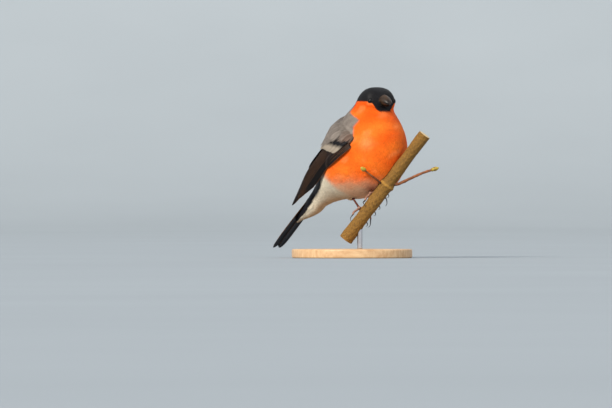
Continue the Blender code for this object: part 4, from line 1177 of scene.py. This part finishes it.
def tailPoint(back, out, over):
    back, out, over = np.broadcast_arrays(back, out, over)
    root = np.array([tail["root"][0], 0.0, tail["root"][1]])
    return root + back[..., None] * tailBack + out[..., None] * [0, 1, 0] + over[..., None] * tailOver


# One tail feather, numbered from the outermost on the left. Its height along it is a
# low parabola
def tailVane(number):
    aside = number - tail["middle"]
    reach = between(*tail["lengths"], abs(aside) / tail["middle"]) * vane["steps"]
    over = tail["over"] - tail["step"] * abs(aside) - tail["sideStep"] * (aside < 0)
    over = over + tail["arch"] * reach * (1 - reach / tail["archLength"])
    out = aside * between(*tail["spread"], vane["steps"])
    centre = toWorld(tailPoint(reach - tail["tucked"], out, over))
    # The outer web faces away from the middle pair
    across = -np.sign(aside) * worldWay(np.array([0.0, 1.0, 0.0]))[None]
    width = tail["width"] * tail["outline"]
    roof = worldWay(tailOver)[None]
    points, tris, local, bake = vanePart(centre, across, roof, width, number, tail["shaftOff"])
    return points, facesOut(points, tris), local, bake


print("tail")
vanePiece("tail_feathers", [tailVane(i) for i in range(tail["feathers"])], "tail", ("tail",))


# Bill

bill = {
    "base": (19.1, 44.5),  # forward, up
    "droop": math.radians(12),
    "upper": dict(length=10.2, width=9.0, height=5.2),
    "lower": dict(length=8.2, width=8.4, height=3.8),
    "gap": 0.3,
    "rows": 56,
    "columns": 72,
    "nostril": dict(at=0.17, angle=math.radians(56), depth=0.55, size=0.06),
}


# Horn of the bill: layered keratin, satin, nearly black, its dark brown mottle partly painted warm highlight
billHorn, tree, surface = newMaterial("bill_horn", Roughness=0.42, Specular_IOR_Level=0.3, IOR=1.5)
place = addNode(tree, "TexCoord").outputs["Object"]
cloud = addNode(tree, "TexNoise", {"Vector": place, "Scale": 240.0, "Detail": 2.0}).outputs["Fac"]
stops = ((0.3, "18110d"), (0.7, "43301f"))
addNode(tree, "ValToRGB", {"Fac": cloud}, {"Color": surface["Base Color"]}, stops)
# Growth lines along the horn, about 0.4 mm apart
wave = {"Vector": place, "Scale": 700.0, "Distortion": 6.0, "Detail": 2.0}
lines = addNode(tree, "TexWave", wave).outputs["Fac"]
bump = {"Strength": 0.05, "Distance": 0.0001, "Height": lines}
addNode(tree, "Bump", bump, {"Normal": surface["Normal"]})


def billPoint(along, out, height):
    along, out, height = np.broadcast_arrays(along, out, height)
    forward = bill["base"][0] + along * math.cos(bill["droop"]) - 0.098 * height
    level = bill["base"][1] - along * math.sin(bill["droop"]) + height
    return toWorld(np.stack([forward, out, level], -1), 1.0)


# Height of the cutting edges: a bell down at the gape, level, and a power curve down
# at the tip
def mouthLine(share):
    return -0.9 * np.exp(-((share / 0.16) ** 2)) - 1.5 * np.maximum(0, share - 0.6) ** 1.5


# Half a blunt cone: width and height shrink as the root of one less the share along to
# the power 2.1, with a narrow bell for the ridge on top of the upper half and a dent
# for each nostril
def mandible(name, size, way):
    share = np.sin(np.linspace(0, math.pi / 2, bill["rows"]))[:, None]
    angle = fullTurn(bill["columns"])[None]
    swell = np.sqrt(np.maximum(0, 1 - share**2.1))
    width = np.maximum(size["width"] / 2 * swell, 0.1)
    height = np.maximum(size["height"] * swell ** (1.0 if way > 0 else 0.9), 0.12)
    start = bill["gap"] + share * size["length"]
    edge = mouthLine(start / bill["upper"]["length"]) + way * bill["gap"] / 2
    over = np.sin(angle)
    rim = np.maximum(over, 0) ** (0.92 if way > 0 else 1.1) + 0.16 * np.minimum(over, 0) * swell
    narrow, crest, dent = 1.0, 0.0, 0.0
    if way > 0:
        narrow = 1 + 0.05 * np.cos(2 * angle)
        crest = 0.28 * np.exp(-(((angle - math.pi / 2) / 0.2) ** 2)) * swell
        spot = bill["nostril"]
        for at in (spot["angle"], math.pi - spot["angle"]):
            off = ((share - spot["at"]) / spot["size"]) ** 2 + ((angle - at) / 0.16) ** 2
            dent = dent + spot["depth"] * np.exp(-off)
    out = (width - dent * 0.6) * np.cos(angle) * narrow
    lift = edge + way * (height - dent * 0.6 - 0.2 + crest) * rim
    ringPiece(name, billPoint(start + 0 * angle, out, lift), billHorn, (name,))


print("bill")
mandible("bill_upper", bill["upper"], 1)
mandible("bill_lower", bill["lower"], -1)


# The face's ring from the front of the head to the bill's base, and on along the bill
# where p is over 1
def faceSheet(p, q):
    p, q = np.broadcast_arrays(np.asarray(p, float), np.asarray(q, float))
    head = bodySheet(lastRow - 0.15 + 0.8 * np.minimum(p, 0), q)
    along = 0.7 + np.maximum(p - 1, 0) * 2.5
    swell = np.sqrt(1 - (along / bill["upper"]["length"]) ** 2.1)
    over = np.cos(q)
    high = np.where(over > 0, bill["upper"]["height"], bill["lower"]["height"]) * swell
    onBill = billPoint(along, bill["upper"]["width"] / 2 * swell * np.sin(q), -0.7 + high * over)
    return head + (onBill - head) * np.clip(p, 0, 1)[..., None]


# Bristly feathers at the bill's base, which lie forwards over it and hide the nostrils
bristle = {"rings": (-0.8, 1.0), "density": 5.0, "length": (1.6, 3.0), "width": 1.0, "root": -0.4, "tip": 0.1}
p, q = spreadRoots(
    faceSheet, bristle["rings"], (0, 2 * math.pi), lambda ring, angle: bristle["density"] + 0 * ring, 40, 120
)
n = len(p)
size = bodyFan | dict(
    locks=3, steps=(0, 0.5, 1), stray=0.22, lift=0.06, ridge=0.04, streak=0.2, rootShade=0.9,
    length=draw.uniform(*bristle["length"], n), width=np.full(n, bristle["width"]),
    rootHeight=np.full(n, bristle["root"]), tipHeight=np.full(n, bristle["tip"]),
)
bakeAt = np.stack([q / (2 * math.pi), shareOf(bristle["rings"], p)], -1) * 0.98 + 0.01
shade = np.repeat(plumage["cap"][None], n, 0) * draw.uniform(0.8, 1.4, (n, 1))
fans = featherFans(faceSheet, p, q, 1, 1, size, lambda a, b: each(shade), bakeAt)
coatPiece("coat_face_bristles", fans, capFeathers)


# Eyes

# Wet cornea over a very dark brown iris and a black pupil. y on the map runs from the
# middle of the pupil to the back of the ball
eyeWet, tree, surface = newMaterial("wet_dark_eye", Roughness=0.05, IOR=1.38, Specular_IOR_Level=0.4)
flat = addNode(tree, "UVMap", uv_map="shape").outputs["UV"]
axes = addNode(tree, "SeparateXYZ", {"Vector": flat}).outputs
stops = ((0.16, "020203"), (0.19, "0f0805"))
addNode(tree, "ValToRGB", {"Fac": axes["Y"]}, {"Color": surface["Base Color"]}, stops)

# Bare skin of the lids: thin, dark, finely pebbled
lidSkin, tree, surface = newMaterial("bare_lid_skin", Roughness=0.7, Specular_IOR_Level=0.25)
place = addNode(tree, "TexCoord").outputs["Object"]
pebble = addNode(tree, "TexVoronoi", {"Vector": place, "Scale": 2600.0}).outputs["Distance"]
stops = ((0.0, "15110f"), (1.0, "0d0b0b"))
addNode(tree, "ValToRGB", {"Fac": pebble}, {"Color": surface["Base Color"]}, stops)
bump = {"Strength": 0.4, "Distance": 0.00008, "Height": pebble}
addNode(tree, "Bump", bump, {"Normal": surface["Normal"]})


# A ball as rings about the way it looks, a shade fuller in front for the cornea
def eyeBall(name, centre, outward, level, upright):
    polar = np.linspace(0.01, math.pi - 0.01, 40)[:, None, None]
    around = fullTurn(48)[None, :, None]
    radius = eye["radius"] * (1 + 0.03 * np.exp(-((polar / 0.5) ** 2)))
    spoke = np.cos(around) * level + np.sin(around) * upright
    grid = centre + (np.cos(polar) * outward + np.sin(polar) * spoke) * radius * mm
    ringPiece(name, grid, eyeWet, (name,))


# A ring of small overlapping swellings round the eye: a circle's section carried round
# an oval, thicker above than below
def lidRing(name, centre, outward, level, upright):
    around, section = fullTurn(96)[:, None], fullTurn(16)[None, :, None]
    reach = math.sqrt(eye["radius"] ** 2 - eye["lidRim"] ** 2) + 0.1
    spoke = np.cos(around) * level * eye["lidLong"] + np.sin(around) * upright * eye["lidHigh"]
    middle = centre + (spoke * eye["lidRim"] + outward * reach) * mm
    thick = eye["lidThick"] * (1 + 0.08 * np.sin(around * 24) + 0.25 * np.sin(around))
    ring = np.cos(section) * unit(spoke)[:, None] + np.sin(section) * outward
    grid = middle[:, None] + ring * (thick[..., None] * mm)
    rows, columns = grid.shape[:2]
    points, tris = grid.reshape(-1, 3), gridFaces(rows, columns, wrapRows=True)
    i, j = np.divmod(np.arange(rows * columns), columns)
    shares = np.stack([i / rows, j / columns], -1) * 0.98 + 0.01
    newPiece(name, points, facesOut(points, tris), lidSkin, (), {"shape": shares})


print("eyes")
for word, side in sides.items():
    eyeBall(f"eye_{word}", *eyeSeat(side))
    lidRing(f"eyelids_{word}", *eyeSeat(side))


# Legs and feet

# Scaled skin: overlapping horny plates, semi-matt, mottled between two browns
def scaledSkin(name, dark, pale):
    made, tree, surface = newMaterial(name, Roughness=0.5, Specular_IOR_Level=0.4)
    place = addNode(tree, "TexCoord").outputs["Object"]
    cloud = addNode(tree, "TexNoise", {"Vector": place, "Scale": 900.0, "Detail": 4.0}).outputs["Fac"]
    stops = ((0.3, dark), (0.7, pale))
    addNode(tree, "ValToRGB", {"Fac": cloud}, {"Color": surface["Base Color"]}, stops)
    pebble = addNode(tree, "TexVoronoi", {"Vector": place, "Scale": 1600.0}).outputs["Distance"]
    bump = {"Strength": 0.35, "Distance": 0.0001, "Height": pebble}
    addNode(tree, "Bump", bump, {"Normal": surface["Normal"]})
    return made


# The shank's darker brown is partly its own colour and partly painted shade under the belly; the toes keep
# the paler skin
shankSkinAndShade = scaledSkin("scaled_shank_skin", "36170f", "6e3a2e")
toeSkin = scaledSkin("scaled_toe_skin", "6c4436", "ab8069")

# Claw horn: hard, curved, near black with a satin shine
clawHorn, tree, surface = newMaterial("claw_horn", Roughness=0.3, Specular_IOR_Level=0.5, IOR=1.55)
place = addNode(tree, "TexCoord").outputs["Object"]
cloud = addNode(tree, "TexNoise", {"Vector": place, "Scale": 700.0}).outputs["Fac"]
stops = ((0.0, "120f10"), (1.0, "3a2c26"))
addNode(tree, "ValToRGB", {"Fac": cloud}, {"Color": surface["Base Color"]}, stops)


# Plates along a limb: its radius as a saw tooth along it, strongest on top
def scuteRadii(radius, columns, plates, depth):
    tooth = (np.linspace(0, 1, len(radius)) * plates) % 1 - 0.5
    onTop = 0.6 + 0.4 * np.cos(fullTurn(columns))
    return radius[:, None] * (1 + depth * tooth[:, None] * onTop)


# A toe: pads as swellings along it, and a round end
def toePart(spots, radius):
    count, pads = 80, [1.15, 1, 1.1, 0.92, 1.08, 0.9, 1.04, 0.95, 0.85]
    pads = np.interp(np.linspace(0, 1, count), np.linspace(0, 1, len(pads)), pads)
    end = (1 - np.arange(count)[::-1] / 5).clip(0, 1)
    radii = scuteRadii(radius * pads, 16, 13, 0.1) * np.sqrt(np.clip(1 - end**2, 0.04, 1))[:, None]
    return tubePart(tubeRings(byBark(spots, count), radii * mm))


# The ball of the foot where the toes meet, as rings along the shank
def padPart(side, run):
    along = np.linspace(-1, 1, 20)
    path = byBark([feet["palms"][side]] * 2, 1)[0] + along[:, None] * run * feet["padRadius"] * mm
    radii = np.sqrt(np.maximum(1 - along**2, 0.003)) * feet["padRadius"] * mm
    return tubePart(tubeRings(path, np.repeat(radii[:, None], 24, 1)))


def tubePart(grid):
    points = withCaps(grid)
    return points, facesOut(points, ringFaces(*grid.shape[:2]))


print("legs and feet")
for side in ("left", "right"):
    heel, end = tarsusEnds(side)
    share = np.linspace(0, 1, 90)
    thick = np.interp(share, [0, 0.2, 0.4, 0.8, 1], [1.2, 0.95, 0.9, 0.94, 1.12]) * feet["tarsusRadius"]
    rings = tubeRings(between(heel, end, share[:, None]), scuteRadii(thick, 20, 9, 0.12) * mm)
    ringPiece(f"leg_{side}", rings, shankSkinAndShade, (f"leg_{side}",))
    parts = [toePart(feet["toes"][side][toe], radius) for toe, radius in feet["toeRadius"].items()]
    points, tris = joined([*parts, padPart(side, unit(end - heel))])
    newPiece(f"foot_{side}", points, tris, toeSkin, (f"foot_{side}",))
    for toe in feet["toeRadius"]:
        path = byBark([feet["toes"][side][toe][-1]] + feet["claws"][side][toe], 34)
        radii = feet["clawRadius"] * (1 - 0.86 * np.linspace(0, 1, 34) ** 1.4)
        radii[0] *= 0.8
        name = f"claw_{side}_{toe}"
        rings = tubeRings(path, np.repeat(radii[:, None], 14, 1) * mm)
        ringPiece(name, rings, clawHorn, (name,))


# Soft feathers of the thigh, as fans on a short cone round each shank where it leaves
# the belly
bellySkin = skinPoints[40:120:2, ::2].reshape(-1, 3)
thigh = {
    # The left thigh's reddish brown is partly painted shade of the hollow under the belly
    "colours": {"left": ("thigh", "flankFade"), "right": ("buffAndShade", "cream")},
    "above": 5.0,  # of the place where the shank leaves the belly
    "length": 7.5,
    "flare": 3.9,
    "endRadius": 0.95,
    "feathered": (0.02, 0.7),  # shares of the cone's length
    "density": 2.6,  # feathers for each mm2
    "size": {"length": (3.0, 4.4), "width": 2.2, "root": -0.5, "tip": 0.12},
}


def thighSheet(side):
    heel, end = tarsusEnds(side)
    run = unit(end - heel)
    line = between(heel, end, np.linspace(0, 1, 80)[:, None])
    leaves = line[nearest(line, bellySkin).argmin()]
    aside = unit(np.cross(run, ahead))
    other = np.cross(run, aside)

    def sheet(along, angle):
        along, angle = np.broadcast_arrays(np.asarray(along, float), np.asarray(angle, float))
        radius = thigh["flare"] * np.maximum(1 - along, 0) ** 0.8 + thigh["endRadius"]
        spot = leaves + run * (along * thigh["length"] - thigh["above"])[..., None] * mm
        spoke = np.cos(angle)[..., None] * aside + np.sin(angle)[..., None] * other
        return spot + spoke * radius[..., None] * mm
    return sheet


for side in ("left", "right"):
    sheet = thighSheet(side)
    p, q = spreadRoots(
        sheet, thigh["feathered"], (0, 2 * math.pi), lambda along, angle: thigh["density"] + 0 * along, 20, 60
    )
    n = len(p)
    _, normal, _, _ = sheetFrame(sheet, p, q)
    flip = np.sign(((sheet(p, q) - sheet(p, q).mean(0)) * normal).sum())
    first, second = thigh["colours"][side]
    shade = mixed(plumage[first], plumage[second], draw.uniform(0, 1, n))
    feather = thigh["size"]
    size = bodyFan | dict(
        locks=7, length=draw.uniform(*feather["length"], n), width=np.full(n, feather["width"]),
        rootHeight=np.full(n, feather["root"]), tipHeight=np.full(n, feather["tip"]),
        streak=0.08, lift=0.06, ridge=0.06,
    )
    bakeAt = np.stack([q / (2 * math.pi), p / thigh["feathered"][1]], -1) * 0.98 + 0.01
    fans = featherFans(sheet, p, q, 1, flip, size, lambda a, b: each(shade), bakeAt)
    coatPiece(f"thigh_feathers_{side}", fans, softFeathers)


# Perch

print("perch")
# Bark of a young shoot: thin, golden brown, dull, with fine ridges that wind a little
# round the wood, and darker in the grooves between them
bark, tree, surface = newMaterial("young_bark", Roughness=0.78, Specular_IOR_Level=0.3)
flat = addNode(tree, "UVMap", uv_map="shape").outputs["UV"]
place = addNode(tree, "TexCoord").outputs["Object"]
turned = {"Vector": flat, "Scale": (90.0, 56.0, 1.0), "Rotation": (0.0, 0.0, 0.5)}
stretch = addNode(tree, "Mapping", turned).outputs["Vector"]
grain = {"Vector": stretch, "Scale": 1.0, "Detail": 5.0, "Roughness": 0.65}
ridges = addNode(tree, "TexNoise", grain).outputs["Fac"]
stops = ((0.34, "452b10"), (0.66, "a0752f"))
brown = addNode(tree, "ValToRGB", {"Fac": ridges}, stops=stops).outputs["Color"]
patches = addNode(tree, "TexNoise", {"Vector": place, "Scale": 90.0, "Detail": 3.0}).outputs["Fac"]
fade = addNode(tree, "MapRange", {"Value": patches, "To Min": 0.7, "To Max": 1.2}).outputs["Result"]
tone = addNode(tree, "Mix", {"Factor": 1.0, 6: brown, 7: fade}, **multiply).outputs[2]
# The scar round the node is paler and golden
nodeShare = (perch["nodeAt"] + perch["below"]) / (perch["above"] + perch["below"])
axes = addNode(tree, "SeparateXYZ", {"Vector": flat}).outputs
fromNode = addNode(tree, "Math", {0: axes["Y"], 1: nodeShare}, operation="SUBTRACT").outputs[0]
offNode = addNode(tree, "Math", {0: fromNode}, operation="ABSOLUTE").outputs[0]
span = {"From Min": 0.004, "From Max": 0.014, "To Min": 0.45, "To Max": 0.0}
scar = addNode(tree, "MapRange", {"Value": offNode, **span}).outputs["Result"]
colours = {"Factor": scar, 6: tone, 7: rgba("b58538")}
addNode(tree, "Mix", colours, {2: surface["Base Color"]}, **blend)
bump = {"Strength": 0.9, "Distance": 0.0003, "Height": ridges}
addNode(tree, "Bump", bump, {"Normal": surface["Normal"]})

# Cut wood: pale, with growth rings about 1 mm apart round the pith
cutWood, tree, surface = newMaterial("cut_wood_end", Roughness=0.7)
flat = addNode(tree, "UVMap", uv_map="shape").outputs["UV"]
axes = addNode(tree, "SeparateXYZ", {"Vector": flat}).outputs
turns = addNode(tree, "Math", {0: axes["Y"], 1: 31.0}, operation="MULTIPLY").outputs[0]
rings = addNode(tree, "Math", {0: turns}, operation="SINE").outputs[0]
stops = ((0.0, "d9c296"), (1.0, "b9945c"))
addNode(tree, "ValToRGB", {"Fac": rings}, {"Color": surface["Base Color"]}, stops)


# The bark's surface: the perch's radius with low ridges that wind round it, as sums
# of sines of the angle and the length
def barkRadius(along, angle):
    wind = angle * 9 + along * 0.55
    ridge = 0.09 * np.sin(wind + 1.3 * np.sin(along * 0.37)) + 0.06 * np.sin(angle * 17 - along * 0.9)
    fine = 0.05 * np.sin(angle * 31 + along * 2.1 + np.sin(along * 1.7))
    bulge = 0.16 * np.sin(along * 0.21 + 1.2) + 0.1 * np.sin(angle * 2 + along * 0.11)
    collar = 0.35 * np.exp(-(((along - perch["nodeAt"]) / 0.9) ** 2))
    return perchRadius(along) + ridge + fine + bulge + collar - 0.12


along = np.linspace(-perch["below"], perch["above"], 460)
along = np.concatenate([along[:1], along, along[-1:]])[:, None]
angle = fullTurn(110)
grid = roundPerch(along, angle, barkRadius(along, angle))
ringPiece("perch_branch", grid, bark, ("perch_branch",))
# The cut ends: each ring's share of the bark's radius, and how far out it lies
cutShare = np.array([1, 0.98, 0.9, 0.75, 0.6, 0.45, 0.3, 0.15, 0.02])[:, None]
cutDepth = np.array([-0.6, 0.0, 0.08, 0.1, 0.1, 0.1, 0.1, 0.1, 0.1])[:, None]
for name, at, way in (("perch_cut_lower", -perch["below"], -1), ("perch_cut_upper", perch["above"], 1)):
    grid = roundPerch(at + cutDepth * way, angle, (barkRadius(at, angle) - 0.15) * cutShare)
    ringPiece(name, grid, cutWood)

# Twigs from the node: along the perch, to its upper left and to its back
twigs = {
    "perch_bud_twig": {
        "line": [(-1.0, 4.0, -3.4), (-0.3, 9.5, -6.4), (0.2, 15.6, -10.0), (0.7, 21.4, -12.8)],
        "radii": (0.75, 0.6),
    },
    "perch_side_twig": {
        "line": [
            (4.0, -3.6, -1.0), (6.6, -6.8, -1.6), (18.0, -12.8, -2.4), (25.5, -17.0, -2.8),
            (33.0, -22.2, -3.0),
        ],
        "radii": (1.25, 0.85),
    },
}

# Bark of the twigs: smoother and redder, mottled with paler brown, darker at the node
twigBark, tree, surface = newMaterial("twig_bark", Roughness=0.62, Specular_IOR_Level=0.35)
place = addNode(tree, "TexCoord").outputs["Object"]
cloud = addNode(tree, "TexNoise", {"Vector": place, "Scale": 420.0, "Detail": 4.0}).outputs["Fac"]
stops = ((0.3, "5a3018"), (0.68, "9c5a2c"))
brown = addNode(tree, "ValToRGB", {"Fac": cloud}, stops=stops).outputs["Color"]
flat = addNode(tree, "UVMap", uv_map="shape").outputs["UV"]
axes = addNode(tree, "SeparateXYZ", {"Vector": flat}).outputs
span = {"From Min": 0.1, "From Max": 0.6, "To Min": 0.35, "To Max": 1.0}
fade = addNode(tree, "MapRange", {"Value": axes["Y"], **span}).outputs["Result"]
addNode(tree, "Mix", {"Factor": 1.0, 6: brown, 7: fade}, {2: surface["Base Color"]}, **multiply)
bump = {"Strength": 0.4, "Distance": 0.0002, "Height": cloud}
addNode(tree, "Bump", bump, {"Normal": surface["Normal"]})

# Bud scales: thin, slightly waxy, brown at the base and yellow green at the tip
budScale, tree, surface = newMaterial("bud_scale", Roughness=0.45, Specular_IOR_Level=0.4)
flat = addNode(tree, "UVMap", uv_map="shape").outputs["UV"]
axes = addNode(tree, "SeparateXYZ", {"Vector": flat}).outputs
stops = ((0.1, "6e4220"), (0.75, "a8912f"))
addNode(tree, "ValToRGB", {"Fac": axes["Y"]}, {"Color": surface["Base Color"]}, stops)


# A bud: a spindle whose radius steps in and out where its scales overlap
def budRings(base, heading, length, radius):
    share, angle = np.linspace(0, 1, 36)[:, None], fullTurn(20)
    spindle = np.interp(share, [0, 0.16, 0.35, 0.55, 0.75, 0.9, 1], [0.55, 0.9, 1, 0.92, 0.68, 0.36, 0.06])
    scales = 1 + 0.1 * ((share * 3.4 + 0.25 * np.sin(angle * 2)) % 1 - 0.5)
    return tubeRings(base + heading * share * length * mm, spindle * scales * radius * mm)


for name, twig in twigs.items():
    offsets = np.array(twig["line"]) + [perch["nodeAt"], 0, 0]
    line = (perch["atLeftFoot"] + offsets @ np.stack([perchAxis, leftEdge, perchBack])) * mm
    share = np.linspace(0, 1, 120)[:, None]
    path = alongRows(line, share[:, 0] * (len(line) - 1))
    knots = 1 + 0.16 * np.exp(-(((share * 4.2) % 1 - 0.5) / 0.07) ** 2)
    rough = 1 + 0.05 * np.sin(fullTurn(20) * 3 + share * 60) + 0.04 * np.sin(share * 210)
    radii = between(*twig["radii"], share) * knots * rough
    ringPiece(name, tubeRings(path, radii * mm), twigBark, (name,))
    heading = unit(path[-1] - path[-9])
    aside = unit(np.cross(heading, up))
    buds = [
        (path[-1] - heading * 1.4 * mm, heading, 5.0, 1.7),
        (path[-12], unit(heading + aside * 0.7), 4.0, 1.4),
        (path[-12], unit(heading - aside * 0.7 + up * 0.2), 3.8, 1.3),
    ]
    for i, bud in enumerate(buds):
        ringPiece(f"{name}_scale_{i}", budRings(*bud), budScale)


# Display stand

print("stand")
stand = {
    "radius": 47.0,
    "thickness": 7.0,
    "edge": 1.2,
    "sides": 160,
    "rod": 2.0,  # its radius
    "rodAt": -17.5,  # along the perch from the left foot
    "rodGap": 0.3,
}

# Oiled beech: pale pinkish brown with fine straight grain and short darker flecks
beech, tree, surface = newMaterial("oiled_beech", Roughness=0.42, Specular_IOR_Level=0.4)
place = addNode(tree, "TexCoord").outputs["Object"]
stretch = addNode(tree, "Mapping", {"Vector": place, "Scale": (1.0, 14.0, 4.0)}).outputs["Vector"]
streaks = {"Vector": stretch, "Scale": 55.0, "Detail": 5.0, "Roughness": 0.6}
grain = addNode(tree, "TexNoise", streaks).outputs["Fac"]
stops = ((0.3, "b98d62"), (0.7, "d8b58a"))
addNode(tree, "ValToRGB", {"Fac": grain}, {"Color": surface["Base Color"]}, stops)
bump = {"Strength": 0.15, "Distance": 0.0002, "Height": grain}
addNode(tree, "Bump", bump, {"Normal": surface["Normal"]})

# Brushed stainless steel: long fine scratches down the rod
steel, tree, surface = newMaterial("brushed_steel", Base_Color=rgba("b9b9bc"), Metallic=1.0, Roughness=0.3)
place = addNode(tree, "TexCoord").outputs["Object"]
stretch = addNode(tree, "Mapping", {"Vector": place, "Scale": (60.0, 60.0, 1.0)}).outputs["Vector"]
scratch = addNode(tree, "TexNoise", {"Vector": stretch, "Scale": 60.0, "Detail": 2.0}).outputs["Fac"]
span = {"To Min": 0.22, "To Max": 0.42}
addNode(tree, "MapRange", {"Value": scratch, **span}, {"Result": surface["Roughness"]})

# A turned disc: its outline as (radius, height), with eased edges, carried round
edge, top = stand["edge"], stand["thickness"]
flatRadius = stand["radius"] - edge
low, high = np.linspace(0.2, 1.57, 7), np.linspace(0, 1.57, 8)
outline = np.concatenate(
    [
        [(0.02, 0.0), (stand["radius"] * 0.5, 0.0), (flatRadius, 0.0)],
        np.stack([flatRadius + edge * np.sin(low), edge - edge * np.cos(low)], -1),
        np.stack([flatRadius + edge * np.cos(high), top - edge + edge * np.sin(high)], -1),
        [(stand["radius"] * 0.6, top), (stand["radius"] * 0.2, top), (0.02, top)],
    ]
)
angle = fullTurn(stand["sides"])
radius, height = outline[:, :1], outline[:, 1:]
grid = np.stack([radius * np.cos(angle), radius * np.sin(angle), height + 0 * angle], -1) * mm
ringPiece("stand_base", grid, beech, ("stand_base",))
# The rod runs up to the height of its own solid
foot = perch["atLeftFoot"] + stand["rodAt"] * perchAxis
height = np.linspace(top + stand["rodGap"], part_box("stand_rod")[1].z / mm, 24)[:, None]
angle = fullTurn(48)
x, y = foot[0] + stand["rod"] * np.cos(angle), foot[1] + stand["rod"] * np.sin(angle)
grid = np.stack([x + 0 * height, y + 0 * height, height + 0 * angle], -1) * mm
ringPiece("stand_rod", grid, steel, ("stand_rod",))


# Floor, light and camera

print("stage")
# Matt paper sweep: pale and plain, faintly mottled
paper, tree, surface = newMaterial("pale_paper_sweep", Roughness=0.9, Specular_IOR_Level=0.2)
place = addNode(tree, "TexCoord").outputs["Object"]
cloud = addNode(tree, "TexNoise", {"Vector": place, "Scale": 3.0}).outputs["Fac"]
stops = ((0.0, "939a9f"), (1.0, "9aa1a6"))
addNode(tree, "ValToRGB", {"Fac": cloud}, {"Color": surface["Base Color"]}, stops)
# It rises far behind the bird, so that a camera on any side still sees it. In metres
sweep = {"front": -14.0, "bendFrom": 6.2, "bendRadius": 3.0, "top": 9.0, "halfWidth": 16.0, "columns": 7}
bend = np.linspace(0, math.pi / 2, 24)
profile = np.concatenate(
    [
        [(sweep["front"], 0.0), (-3.0, 0.0), (0.0, 0.0)],
        [sweep["bendFrom"], 0.0] + sweep["bendRadius"] * np.stack([np.sin(bend), 1 - np.cos(bend)], -1),
        [(sweep["bendFrom"] + sweep["bendRadius"], sweep["top"])],
    ]
)
x = np.linspace(-sweep["halfWidth"], sweep["halfWidth"], sweep["columns"])
grid = np.stack(np.broadcast_arrays(x, profile[:, :1], profile[:, 1:]), -1)
mesh = bpy.data.meshes.new("paper_sweep")
faces = gridFaces(len(profile), sweep["columns"], wrapColumns=False)
mesh.from_pydata(grid.reshape(-1, 3).tolist(), [], faces.tolist())
mesh.materials.append(paper)
mesh.shade_smooth()
addObject("paper_sweep", mesh)

lamps = {
    "key": dict(way=(-0.8, -1.15, 0.85), spread=18, power=4.0, colour=(1.0, 0.94, 0.85)),
    "fill": dict(way=(1.1, -1.2, 0.35), spread=60, power=0.6, colour=(0.95, 0.97, 1.0)),
    "back": dict(way=(0.7, 0.9, 1.1), spread=40, power=0.4, colour=(0.95, 0.97, 1.0)),
}
for name, lamp in lamps.items():
    light = bpy.data.lights.new(name, "SUN")
    light.angle, light.energy, light.color = math.radians(lamp["spread"]), lamp["power"], lamp["colour"]
    obj = addObject(name, light)
    x, y, z = lamp["way"]
    obj.location = (x, y, z)
    obj.rotation_euler = (math.atan2(math.hypot(x, y), z), 0, math.atan2(x, -y))

world = bpy.data.worlds.new("soft_room")
world.use_nodes = True
background = world.node_tree.nodes["Background"].inputs
background["Color"].default_value = (0.86, 0.92, 1.0, 1.0)
background["Strength"].default_value = 0.76
bpy.context.scene.world = world
bpy.context.scene.view_settings.view_transform = "Standard"

view = {
    "mmPerPixel": 0.78,
    "pixels": (612, 408),
    "birdPixel": (352.0, 258.0),  # where the base's middle, on the floor, falls
    "away": 6.0,
}
camera = bpy.data.cameras.new("camera")
camera.sensor_width = 36.0
camera.lens = 36.0 * view["away"] / (view["pixels"][0] * view["mmPerPixel"] * mm)
camera.clip_end = 30.0
cameraObject = addObject("camera", camera)
cameraObject.location = (
    (view["pixels"][0] / 2 - view["birdPixel"][0]) * view["mmPerPixel"] * mm,
    -view["away"],
    (view["birdPixel"][1] - view["pixels"][1] / 2) * view["mmPerPixel"] * mm,
)
cameraObject.rotation_euler = (math.pi / 2, 0, 0)
bpy.context.scene.camera = cameraObject
